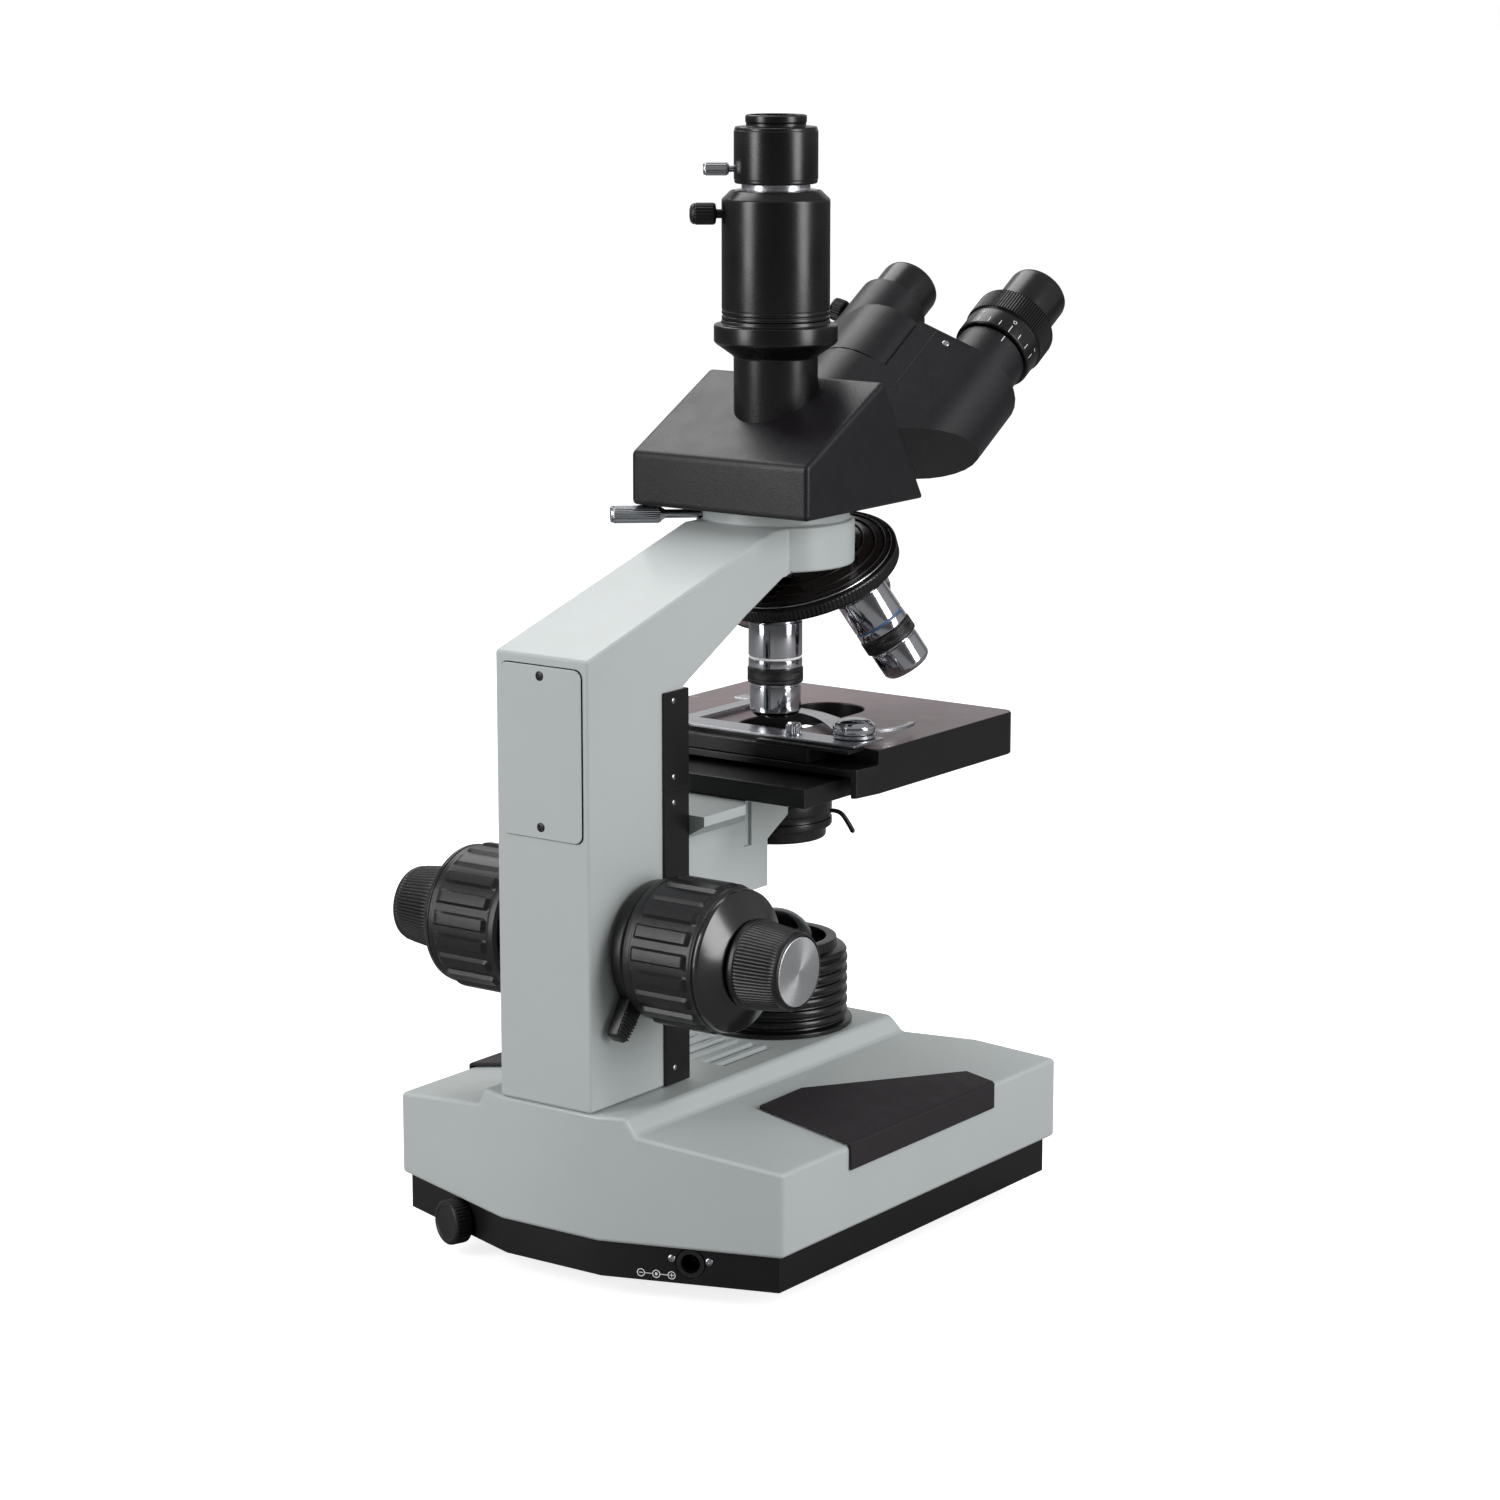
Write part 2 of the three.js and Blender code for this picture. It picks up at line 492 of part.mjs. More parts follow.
function makeHead() {
  const { bottom, halfWidth, back, backTop, peakY, peakZ, frontY } = HEAD;
  const side = [[back, bottom], [back, backTop], [peakY, peakZ], [frontY, bottom]];
  const wedge = sideways(side, -halfWidth, halfWidth);
  const hollow = sideways(inset(side, 3.5), 3.5 - halfWidth, halfWidth - 3.5);
  const neck = rod(22.6, 273, bottom + 1, 36);
  const topBore = rod(15, 300, 350, 28);
  const lightWay = rod(12, 260, 300, 24);
  const frontBore = rod(6.3, -20, 20, 20).rotateX(PI / 2 - HEAD.incline)
    .translate(0, inclined.y, inclined.z);
  const housing = cut(join(wedge, neck), hollow, topBore, lightWay, frontBore);
  part(microscope, 'head_housing', housing, 'black');

  const clamp = place(microscope, 0, 0, HEAD.clampZ, 0, 0, HEAD.clampTurn);
  const clampHead = pillar(toothed(20, 3.3, 3.7, 0.7, 0.4), 46, 66);
  part(clamp, 'head_clamp_screw', alongY(join(rod(1.75, 23.2, 47, 12), clampHead)), 'chrome');

  const { tubeRadius, ringRadius, bodyRadius, adapterRadius, screwTurn } = PORT;
  const { bodyBottom, lockZ, thumbZ } = PORT;
  const collar = turned([[0, 343], [tubeRadius, 343], [ringRadius, 349.2], [ringRadius, 356.2],
    [22, 356.8], [22, 358.2], [0, 358.2]], 28);
  const clearance = sideways(inset(side, -GAP), -60, 60);
  const trimmed = cut(join(rod(tubeRadius, 316, 343.8), collar), clearance);
  const portTube = cut(join(trimmed, rod(14.6, 316, 350)), rod(11.5, 300, 370));
  part(microscope, 'trinocular_tube', portTube, 'black');

  const bodyProfile = [[17.2, bodyBottom], [bodyRadius, bodyBottom], [bodyRadius, 405],
    [bodyRadius - 0.5, 405.7], [17.2, 408.8], [17.2, bodyBottom]];
  const lockHole = alongY(rod(2.1, 10, 30, 12)).rotateZ(screwTurn).translate(0, 0, lockZ);
  part(microscope, 'camera_tube', cut(turned(bodyProfile, 28), lockHole), 'black');
  const adapter = [[10.6, 366], [16.8, 366], [16.8, 409.2], [13.5, 409.4], [13.5, 411.2],
    [adapterRadius, 411.6], [adapterRadius, 433], [adapterRadius - 0.5, 433.5], [12.1, 433.7],
    [12.1, 438], [10.6, 438], [10.6, 366]];
  const pinHole = alongY(rod(1.6, 10, 30, 12)).rotateZ(screwTurn).translate(0, 0, thumbZ);
  part(microscope, 'camera_adapter', cut(turned(adapter, 24), pinHole), 'black');

  const lockScrew = place(microscope, 0, 0, lockZ, 0, 0, screwTurn);
  const lockHead = pillar(toothed(16, 4, 4.4, 0.7, 0.4), 23.5, 34);
  part(lockScrew, 'tube_lock_screw', alongY(join(rod(1.8, 17.1, 24, 12), lockHead)), 'black');
  const thumbscrew = place(microscope, 0, 0, thumbZ, 0, 0, screwTurn);
  const thumbHead = pillar(toothed(14, 2.4, 2.7, 0.7, 0.4), 18, 28.6);
  part(thumbscrew, 'adapter_thumbscrew', alongY(join(rod(1.3, 12, 19, 12), thumbHead)), 'chrome');
}

// ---- binocular wings and eyepieces ----
// In the inclined frame Z runs up the eyepiece tubes, X is the user's right and the origin
// lies on the hinge axis at the housing's front face.

function makeBinocular() {
  const frame = place(microscope, 0, inclined.y, inclined.z, PI / 2 - HEAD.incline, 0, 0);
  const { front, layer, radius } = WING;
  const reach = HEAD.tubeX / cos(HEAD.armDrop);
  const drop = reach * sin(HEAD.armDrop);
  const stadium = [...arc(0, 0, radius, 90, 270, 12), ...arc(reach, 0, radius, -90, 90, 14)];
  const arm = (z0, z1) => pillar(stadium, z0, z1).rotateZ(-HEAD.armDrop);
  // the other wing's round hub turns in this layer
  const hubCut = (z0, z1) => join(box(-60, 19, -60, 60, z0, z1), rod(radius + 0.8, z0, z1, 28));
  const tubeBore = rod(12.1, front + 1, 130, 28).translate(HEAD.tubeX, -drop, 0);
  const hubBore = rod(6.3, -10, 100, 20);
  // the underside is cut away by a plane that rises towards the outer end
  const away = new THREE.Vector3(0.474, -0.587, -1).normalize();
  const knife = box(-120, 120, -120, 120, 0, 120).applyQuaternion(
    new THREE.Quaternion().setFromUnitVectors(new THREE.Vector3(0, 0, 1), away)).translate(39, 6, 5);
  const sleeveRight = rod(15.6, front - 2, 108, 32).translate(HEAD.tubeX, -drop, 0);
  const sleeveLeft = turned([[0, front - 2], [15.2, front - 2], [15.2, 81], [13, 81], [13, 103],
    [0, 103]], 32).translate(HEAD.tubeX, -drop, 0);
  const start = 1;
  const bores = [knife, tubeBore, hubBore];
  const rightWing = cut(join(arm(start, front), sleeveRight), hubCut(start - 1, layer + GAP), ...bores);
  const leftWing = cut(join(arm(start, front), sleeveLeft), hubCut(layer - GAP, front + 1), ...bores);
  part(frame, 'prism_box_right', rightWing, 'black');
  part(frame, 'prism_box_left', mirrored(leftWing), 'black');

  const axle = [[0, -6], [5.9, -6], [5.9, front + GAP], [15, front + GAP], [15, front + 2.6], [14, front + 3.4],
    [0, front + 3.4]];
  part(frame, 'hinge_axle', turned(axle, 28), 'black');

  for (const [name, side] of [['right', 1], ['left', -1]]) {
    const line = place(frame, side * HEAD.tubeX, -drop, 0);
    const sleeveTop = side > 0 ? 108 : 104.4;
    const barrel = [[8.6, 84], [11.7, 84], [11.7, sleeveTop + GAP], [12.9, sleeveTop + GAP],
      [12.9, 123.4], [12.3, 124.8], [9, 125], [8.6, 122], [8.6, 84]];
    part(line, `eyepiece_${name}`, turned(barrel, 24), 'black');
  }
  const grip = cut(pillar(toothed(28, 16.9, 17.6, 0.7, 0.4), 92, 103), rod(13.4, 80, 110, 24));
  const ring = join(tube(13.4, 16.8, 81.6, 92, 24), grip);
  part(place(frame, -HEAD.tubeX, -drop, 0), 'dioptre_ring', ring, 'black');
}

makeBase();
makeInletAndDial();
makeArm();
makeLamp();
makeFocusDrive();
makeStage();
makeCondenser();
makeNosepiece();
makeHead();
makeBinocular();

microscope.position.set(0, -CENTRE_Y, 0);

export default microscope;
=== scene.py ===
import math
import bmesh
import bpy
from mathutils import Matrix, Vector

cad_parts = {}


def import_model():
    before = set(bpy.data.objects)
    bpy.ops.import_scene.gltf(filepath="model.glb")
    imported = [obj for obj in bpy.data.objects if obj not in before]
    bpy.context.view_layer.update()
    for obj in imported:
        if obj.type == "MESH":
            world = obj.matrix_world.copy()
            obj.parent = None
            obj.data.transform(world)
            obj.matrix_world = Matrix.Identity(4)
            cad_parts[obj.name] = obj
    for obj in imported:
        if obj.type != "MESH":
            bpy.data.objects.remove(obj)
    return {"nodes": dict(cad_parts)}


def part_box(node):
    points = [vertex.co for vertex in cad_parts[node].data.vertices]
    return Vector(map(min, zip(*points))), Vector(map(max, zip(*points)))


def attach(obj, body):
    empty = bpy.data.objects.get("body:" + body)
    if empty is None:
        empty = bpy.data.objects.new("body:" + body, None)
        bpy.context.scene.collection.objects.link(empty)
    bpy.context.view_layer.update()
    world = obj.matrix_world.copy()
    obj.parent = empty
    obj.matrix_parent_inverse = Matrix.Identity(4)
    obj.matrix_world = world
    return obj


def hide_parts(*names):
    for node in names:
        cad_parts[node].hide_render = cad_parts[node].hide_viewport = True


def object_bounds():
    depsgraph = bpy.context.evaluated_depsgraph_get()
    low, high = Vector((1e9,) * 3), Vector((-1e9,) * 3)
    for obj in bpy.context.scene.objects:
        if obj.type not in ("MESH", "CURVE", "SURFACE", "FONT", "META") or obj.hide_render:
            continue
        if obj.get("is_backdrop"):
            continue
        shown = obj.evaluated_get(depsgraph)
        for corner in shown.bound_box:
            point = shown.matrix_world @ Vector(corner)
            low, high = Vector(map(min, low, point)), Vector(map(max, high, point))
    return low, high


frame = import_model()
cad_lo, cad_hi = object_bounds()

MM = 0.001
SHIFT_Y = (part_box("camera_tube")[0].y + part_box("camera_tube")[1].y) / 2 / MM
UP = Vector((0, 0, 1))
TILT = math.radians(24)
INCLINE = math.radians(32)
TUBE_AXIS = Vector((0, -math.cos(INCLINE), math.sin(INCLINE)))
TURRET_AXIS = Vector((0, -math.sin(TILT), -math.cos(TILT)))
APEX = Vector((0, 0, 300))
TUBE_OFFSET = 32
WING_SLOPE = math.radians(28)
STAGE_Z = 195.35
APERTURE_RADIUS = 14.9
APERTURE_RUN = 38
PORT_SCREWS_AT = math.radians(54.3)
CLAMP_AT = math.radians(50)


def world(p):
    """Millimetres about the optical axis to metres in the row frame."""
    return Vector((p[0], p[1] + SHIFT_Y, p[2])) * MM


# ---- materials ----

class Nodes:
    def __init__(self, name):
        self.mat = bpy.data.materials.new(name)
        self.mat.use_nodes = True
        self.tree = self.mat.node_tree
        self.bsdf = self.tree.nodes["Principled BSDF"]
        self.coord = self.add("ShaderNodeTexCoord").outputs["Object"]

    def add(self, kind, **values):
        node = self.tree.nodes.new(kind)
        for key, value in values.items():
            if hasattr(node, key):
                setattr(node, key, value)
            else:
                node.inputs[key.replace("_", " ")].default_value = value
        return node

    def link(self, a, b):
        self.tree.links.new(a, b)

    def noise(self, scale, detail=3.0, rough=0.55, stretch=None):
        node = self.add("ShaderNodeTexNoise", Scale=scale, Detail=detail, Roughness=rough)
        source = self.coord
        if stretch:
            mapping = self.add("ShaderNodeMapping")
            mapping.inputs["Scale"].default_value = stretch
            self.link(source, mapping.inputs["Vector"])
            source = mapping.outputs["Vector"]
        self.link(source, node.inputs["Vector"])
        return node.outputs["Fac"]

    def ramp(self, fac, low, high, a=0.3, b=0.7):
        node = self.add("ShaderNodeMapRange", From_Min=a, From_Max=b, To_Min=low, To_Max=high)
        self.link(fac, node.inputs["Value"])
        return node.outputs["Result"]

    def mix(self, fac, a, b):
        node = self.add("ShaderNodeMix", data_type="RGBA")
        node.inputs[6].default_value = (*a, 1)
        node.inputs[7].default_value = (*b, 1)
        if isinstance(fac, float):
            node.inputs[0].default_value = fac
        else:
            self.link(fac, node.inputs[0])
        return node.outputs[2]

    def math(self, op, a, b=None):
        node = self.add("ShaderNodeMath", operation=op)
        for socket, value in zip(node.inputs, (a, b)):
            if value is None:
                continue
            if isinstance(value, (int, float)):
                socket.default_value = value
            else:
                self.link(value, socket)
        return node.outputs[0]

    def bump(self, height, distance, strength=1.0):
        node = self.add("ShaderNodeBump", Strength=strength, Distance=distance)
        self.link(height, node.inputs["Height"])
        previous = self.bsdf.inputs["Normal"]
        if previous.is_linked:
            self.link(previous.links[0].from_socket, node.inputs["Normal"])
        self.link(node.outputs["Normal"], previous)


def linear(r, g, b):
    return tuple((c / 255 / 12.92) if c <= 10 else ((c / 255 + 0.055) / 1.055) ** 2.4 for c in (r, g, b))


def edge_wear(n, width=0.0006):
    """1 on sharp convex edges, 0 on flats."""
    bevel = n.add("ShaderNodeBevel", samples=4, Radius=width)
    geometry = n.add("ShaderNodeNewGeometry")
    dot = n.add("ShaderNodeVectorMath", operation="DOT_PRODUCT")
    n.link(bevel.outputs["Normal"], dot.inputs[0])
    n.link(geometry.outputs["Normal"], dot.inputs[1])
    return n.ramp(dot.outputs["Value"], 1.0, 0.0, 0.80, 0.995)


def coated(name, rgb, rough, grain=0.00004, grain_scale=2600.0, vary=0.10, wear=0.15, metallic=0.0, coat=0.0,
           spec=0.5):
    """A sprayed or moulded surface: slight tone drift, fine grain in the relief, paler rubbed edges."""
    n = Nodes(name)
    base = linear(*rgb)
    dark = tuple(c * (1 - vary) for c in base)
    light = tuple(min(1.0, c * (1 + vary)) for c in base)
    cloud = n.noise(14.0, 4.0)
    tone = n.mix(n.ramp(cloud, 0.0, 1.0), dark, light)
    rubbed = n.add("ShaderNodeMix", data_type="RGBA")
    n.link(n.math("MULTIPLY", edge_wear(n), n.ramp(n.noise(160.0), 0.2 * wear, wear)), rubbed.inputs[0])
    n.link(tone, rubbed.inputs[6])
    rubbed.inputs[7].default_value = (*[min(1.0, c * 1.5 + 0.12) for c in base], 1)
    n.link(rubbed.outputs[2], n.bsdf.inputs["Base Color"])
    n.link(n.ramp(n.noise(90.0, 5.0), rough * 0.92, rough * 1.08), n.bsdf.inputs["Roughness"])
    n.bsdf.inputs["Metallic"].default_value = metallic
    n.bsdf.inputs["Specular IOR Level"].default_value = spec
    n.bsdf.inputs["Coat Weight"].default_value = coat
    n.bsdf.inputs["Coat Roughness"].default_value = 0.15
    n.bump(n.noise(grain_scale, 2.0), grain)
    return n.mat


def plated(name, rgb, rough, brushed=0.0, turned=False):
    """Plated or machined metal with hair lines, along the piece or in circles about its own Z axis."""
    n = Nodes(name)
    base = linear(*rgb)
    tone = n.mix(n.ramp(n.noise(40.0, 3.0), 0.0, 1.0), tuple(c * 0.93 for c in base), base)
    n.link(tone, n.bsdf.inputs["Base Color"])
    n.bsdf.inputs["Metallic"].default_value = 1.0
    if turned:
        split = n.add("ShaderNodeSeparateXYZ")
        n.link(n.coord, split.inputs[0])
        radius = n.math("SQRT", n.math("ADD", n.math("POWER", split.outputs[0], 2.0),
                                       n.math("POWER", split.outputs[1], 2.0)))
        line = n.add("ShaderNodeTexNoise", noise_dimensions="1D", Scale=9000.0, Detail=2.0)
        n.link(n.math("ADD", radius, n.math("MULTIPLY", split.outputs[2], 1.3)), line.inputs["W"])
        lines = line.outputs["Fac"]
        tangent = n.add("ShaderNodeTangent", direction_type="RADIAL", axis="Z")
        n.link(tangent.outputs["Tangent"], n.bsdf.inputs["Tangent"])
        n.bsdf.inputs["Anisotropic"].default_value = 0.85
    else:
        lines = n.noise(500.0, 2.0, stretch=(0.04, 1.0, 1.0))
    n.link(n.ramp(lines, rough * 0.8, rough * 1.25), n.bsdf.inputs["Roughness"])
    if brushed:
        n.bump(lines, brushed)
    return n.mat


def clear(name, rgb, rough, coat_rgb):
    """Lens glass with a faint anti-reflection tint."""
    n = Nodes(name)
    facing = n.add("ShaderNodeLayerWeight", Blend=0.35).outputs["Facing"]
    n.link(n.mix(facing, linear(*rgb), linear(*coat_rgb)), n.bsdf.inputs["Base Color"])
    n.link(n.ramp(n.noise(60.0), rough, rough + 0.03), n.bsdf.inputs["Roughness"])
    n.bsdf.inputs["Transmission Weight"].default_value = 1.0
    n.bsdf.inputs["IOR"].default_value = 1.52
    return n.mat


GREY = coated("grey_enamel", (184, 191, 190), 0.42, 0.00003, 3200.0, vary=0.025, wear=0.25, coat=0.1)
PAN = coated("black_sheet", (14, 12, 14), 0.40, 0.00003, 2600.0, wear=0.04, spec=0.35)
HEAD = coated("black_crinkle", (21, 18, 23), 0.40, 0.00008, 1900.0, wear=0.05, spec=0.38)
TUBE = coated("black_anodised", (13, 11, 13), 0.27, 0.00001, 5200.0, wear=0.06, spec=0.5)
KNOB = coated("knob_plastic", (24, 22, 25), 0.36, 0.00004, 2600.0, wear=0.05, spec=0.45)
SHINE = coated("knob_gloss", (26, 24, 27), 0.20, 0.00001, 900.0, wear=0.04, coat=0.4, spec=0.5)
PAD = coated("pad_vinyl", (36, 31, 35), 0.60, 0.00010, 1500.0, vary=0.06, wear=0.04, spec=0.35)
RUBBER = coated("foot_rubber", (24, 22, 23), 0.80, 0.00009, 1700.0, wear=0.05, spec=0.3)
GLOSS = coated("black_enamel", (30, 24, 22), 0.20, 0.00001, 300.0, wear=0.10, coat=0.6)
STAGE_SIDE = coated("stage_edge", (14, 12, 14), 0.36, 0.00003, 2600.0, wear=0.05, spec=0.4)
# the stage top's pale colour is a painted reflection: the bright surroundings mirrored at a grazing angle on
# the dark stage
STAGE_TOP = coated("stage_coat", (122, 104, 108), 0.38, 0.00002, 2400.0, vary=0.04, wear=0.06, coat=0.2)
STEM = coated("blackened_steel", (30, 28, 31), 0.30, 0.00002, 1800.0, wear=0.25, metallic=0.5)
CHROME = plated("chrome_plate", (196, 197, 202), 0.10)
SATIN = plated("satin_nickel", (196, 197, 202), 0.26, 0.000004)
SPUN = plated("spun_aluminium", (214, 215, 218), 0.28, 0.000006, turned=True)
STEEL = plated("ground_steel", (150, 150, 154), 0.34, 0.000005)
BRASS = plated("machined_brass", (188, 150, 84), 0.32, 0.000006)
WHITE = coated("white_fill", (232, 232, 230), 0.50, 0.00001, 3000.0, vary=0.02, wear=0.0)
BLUE = coated("blue_fill", (62, 104, 150), 0.45, 0.00001, 3000.0, vary=0.04, wear=0.0)
YELLOW = coated("yellow_fill", (214, 178, 60), 0.45, 0.00001, 3000.0, vary=0.04, wear=0.0)
RED = coated("red_fill", (176, 52, 44), 0.45, 0.00001, 3000.0, vary=0.04, wear=0.0)
DARK = coated("dark_recess", (12, 11, 12), 0.6, 0.00002, 2000.0, wear=0.0)
LENS = clear("lens_glass", (236, 240, 242), 0.0, (150, 120, 190))
DOME = clear("dome_glass", (120, 128, 134), 0.02, (70, 78, 92))


# ---- mesh helpers ----

def finish_mesh(name, bm, mats, frame_matrix=None, angle=32):
    mesh = bpy.data.meshes.new(name)
    bmesh.ops.remove_doubles(bm, verts=bm.verts, dist=1e-4)
    bmesh.ops.recalc_face_normals(bm, faces=bm.faces)
    bm.to_mesh(mesh)
    bm.free()
    mesh.transform(Matrix.Scale(MM, 4))
    mesh.polygons.foreach_set("use_smooth", [True] * len(mesh.polygons))
    mesh.set_sharp_from_angle(angle=math.radians(angle))
    piece = bpy.data.objects.new(name, mesh)
    bpy.context.scene.collection.objects.link(piece)
    for mat in mats if isinstance(mats, (list, tuple)) else [mats]:
        mesh.materials.append(mat)
    if frame_matrix is not None:
        piece.matrix_world = frame_matrix
    return piece


def axes(origin, z, x_hint=(1, 0, 0)):
    """A frame at origin (mm about the optical axis) whose Z runs along z."""
    z = Vector(z).normalized()
    x = Vector(x_hint)
    x = (x - z * x.dot(z)).normalized()
    y = z.cross(x)
    matrix = Matrix((x, y, z)).transposed().to_4x4()
    matrix.translation = world(origin)
    return matrix


def softened(profile, radius=0.35, steps=3):
    """The same profile with each inner corner rounded."""
    out = [profile[0]]
    for before, here, after in zip(profile, profile[1:], profile[2:]):
        p, q, r = Vector(before[:2]), Vector(here[:2]), Vector(after[:2])
        a, b = (p - q), (r - q)
        cut = min(radius, a.length * 0.45, b.length * 0.45)
        if cut < 0.02 or a.angle(b, math.pi) > math.radians(170):
            out.append(here)
            continue
        start, end = q + a.normalized() * cut, q + b.normalized() * cut
        for i in range(steps + 1):
            t = i / steps
            out.append(tuple(start * (1 - t) ** 2 + q * 2 * t * (1 - t) + end * t ** 2))
    out.append(profile[-1])
    return out


def turn(name, profile, mat, matrix, segments=96, relief=None, soft=0.35, bands=(), angle=32, closed=False):
    """A body of revolution about its own Z; relief(angle, r, z) moves the surface out."""
    path = softened(profile, soft) if soft else list(profile)
    bm = bmesh.new()
    rings = []
    for r, z in path:
        ring = []
        for i in range(segments):
            a = 2 * math.pi * i / segments
            out = max(0.0, r + (relief(a, r, z) if relief and r > 1e-6 else 0.0))
            ring.append(bm.verts.new((out * math.cos(a), out * math.sin(a), z)))
        rings.append(ring)
    pairs = list(zip(rings, rings[1:]))
    if closed:
        pairs.append((rings[-1], rings[0]))
    for low, high in pairs:
        for i in range(segments):
            j = (i + 1) % segments
            bm.faces.new((low[i], low[j], high[j], high[i]))
    bmesh.ops.remove_doubles(bm, verts=bm.verts, dist=1e-5)
    bmesh.ops.dissolve_degenerate(bm, edges=bm.edges, dist=1e-5)
    mats = [mat] + [band[2] for band in bands]
    for face in bm.faces:
        c = face.calc_center_median()
        for index, (z0, z1, _) in enumerate(bands):
            if z0 < c.z < z1 and math.hypot(c.x, c.y) > 1.0:
                face.material_index = index + 1
    return finish_mesh(name, bm, mats, matrix, angle)


def fine(z0, z1, step):
    """Heights between z0 and z1 for a ribbed stretch of a profile."""
    count = max(1, round((z1 - z0) / step))
    return [z0 + (z1 - z0) * i / count for i in range(count + 1)]


def ribs(count, depth, z0, z1, sharp=3.0):
    def relief(a, r, z):
        if not z0 <= z <= z1:
            return 0.0
        ends = min(1.0, (z - z0) / 0.4, (z1 - z) / 0.4)
        return depth * ends * (0.5 + 0.5 * math.cos(a * count)) ** (1 / sharp) - depth
    return relief


def knurl(count, depth, z0, z1, pitch):
    """Crossed knurling."""
    def relief(a, r, z):
        if not z0 < z < z1:
            return 0.0
        ends = min(1.0, (z - z0) / 0.3, (z1 - z) / 0.3)
        u, v = a * count / 2, 2 * math.pi * (z - z0) / pitch / 2
        return depth * ends * (abs(math.sin(u + v)) * abs(math.sin(u - v))) ** 0.5 - depth * 0.7
    return relief


def outside(limit, relief):
    """The same relief, only on the surface beyond a radius."""
    return lambda a, r, z: relief(a, r, z) if r > limit else 0.0


def slab(name, outline, z0, z1, mat, matrix, bevel=0.3, segments=3):
    """A plate from an outline in its own XY plane, edges rounded."""
    bm = bmesh.new()
    base = bm.faces.new([bm.verts.new((x, y, z0)) for x, y in outline])
    top = bmesh.ops.extrude_face_region(bm, geom=[base])
    bmesh.ops.translate(bm, verts=[v for v in top["geom"] if isinstance(v, bmesh.types.BMVert)],
                        vec=(0, 0, z1 - z0))
    bmesh.ops.recalc_face_normals(bm, faces=bm.faces)
    if bevel:
        sharp = [e for e in bm.edges if len(e.link_faces) == 2 and e.calc_face_angle() > math.radians(35)]
        bmesh.ops.bevel(bm, geom=sharp, offset=bevel, segments=segments, profile=0.6, affect="EDGES",
                        clamp_overlap=True)
    return finish_mesh(name, bm, mat, matrix, 40)


def rect(x0, x1, y0, y1, r=0.0, steps=5):
    if not r:
        return [(x0, y0), (x1, y0), (x1, y1), (x0, y1)]
    points = []
    for cx, cy, a in ((x1 - r, y0 + r, -90), (x1 - r, y1 - r, 0), (x0 + r, y1 - r, 90),
                      (x0 + r, y0 + r, 180)):
        for i in range(steps + 1):
            t = math.radians(a + 90 * i / steps)
            points.append((cx + r * math.cos(t), cy + r * math.sin(t)))
    return points


def sweep(name, points, radius, mat, matrix, sides=14, end_radius=None):
    """A round wire through points, with rounded ends."""
    path = [Vector(p) for p in points]
    dense = []
    for i in range(len(path) - 1):
        p0, p1 = path[max(0, i - 1)], path[i]
        p2, p3 = path[i + 1], path[min(len(path) - 1, i + 2)]
        for k in range(6):
            t = k / 6
            dense.append(0.5 * (2 * p1 + (p2 - p0) * t + (2 * p0 - 5 * p1 + 4 * p2 - p3) * t * t
                                + (3 * p1 - p0 - 3 * p2 + p3) * t ** 3))
    dense.append(path[-1])
    bm = bmesh.new()
    rings = []
    side = Vector((0.31, 0.82, 0.47))
    total = len(dense) - 1
    for i, p in enumerate(dense):
        tangent = (dense[min(i + 1, total)] - dense[max(i - 1, 0)]).normalized()
        side = (side - tangent * side.dot(tangent)).normalized()
        other = tangent.cross(side)
        r = radius if end_radius is None else radius + (end_radius - radius) * i / total
        rings.append([bm.verts.new(p + side * r * math.cos(a) + other * r * math.sin(a))
                      for a in (2 * math.pi * k / sides for k in range(sides))])
        if i in (0, total):
            out = -tangent if i == 0 else tangent
            cap = [bm.verts.new(p + out * r * 0.6 + (side * math.cos(a) + other * math.sin(a)) * r * 0.6)
                   for a in (2 * math.pi * k / sides for k in range(sides))]
            tip = bm.verts.new(p + out * r * 0.85)
            for k in range(sides):
                j = (k + 1) % sides
                bm.faces.new((rings[-1][k], rings[-1][j], cap[j], cap[k]))
                bm.faces.new((cap[k], cap[j], tip))
    for low, high in zip(rings, rings[1:]):
        for k in range(sides):
            j = (k + 1) % sides
            bm.faces.new((low[k], low[j], high[j], high[k]))
    return finish_mesh(name, bm, mat, matrix, 50)


def screw(name, at, normal, radius, body, mat=SATIN, height=0.7, hint=(1, 0, 0), turn_by=0.35,
          slot_only=False):
    """A low domed screw head with a cross recess."""
    bm = bmesh.new()
    rings, segments = 14, 48
    previous = None
    centre = None
    width, length = radius * 0.17, radius * 0.62
    for k in range(rings + 1):
        r = radius * k / rings
        ring = []
        for i in range(segments):
            a = 2 * math.pi * i / segments
            x, y = r * math.cos(a), r * math.sin(a)
            z = height * math.sqrt(max(0.0, 1 - (r / radius) ** 2.6)) if k < rings else 0.0
            inside = (abs(x) < width and abs(y) < length) or (
                not slot_only and abs(y) < width and abs(x) < length)
            ring.append(bm.verts.new((x, y, z - (height * 0.75 if inside else 0.0))))
            if k == 0:
                break
        if k == 0:
            centre = ring[0]
        elif k == 1:
            for i in range(segments):
                bm.faces.new((centre, ring[i], ring[(i + 1) % segments]))
        else:
            for i in range(segments):
                j = (i + 1) % segments
                bm.faces.new((previous[i], ring[i], ring[j], previous[j]))
        previous = ring
    low = [bm.verts.new((v.co.x, v.co.y, -0.25)) for v in previous]
    for i in range(segments):
        j = (i + 1) % segments
        bm.faces.new((previous[i], low[i], low[j], previous[j]))
    bm.faces.new(low)
    piece = finish_mesh(name, bm, mat, axes(at, normal, hint) @ Matrix.Rotation(turn_by, 4, "Z"), 40)
    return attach(piece, body)


def own(piece, body, slot_name, *nodes):
    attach(piece, body)
    if nodes:
        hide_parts(*nodes)
    return piece


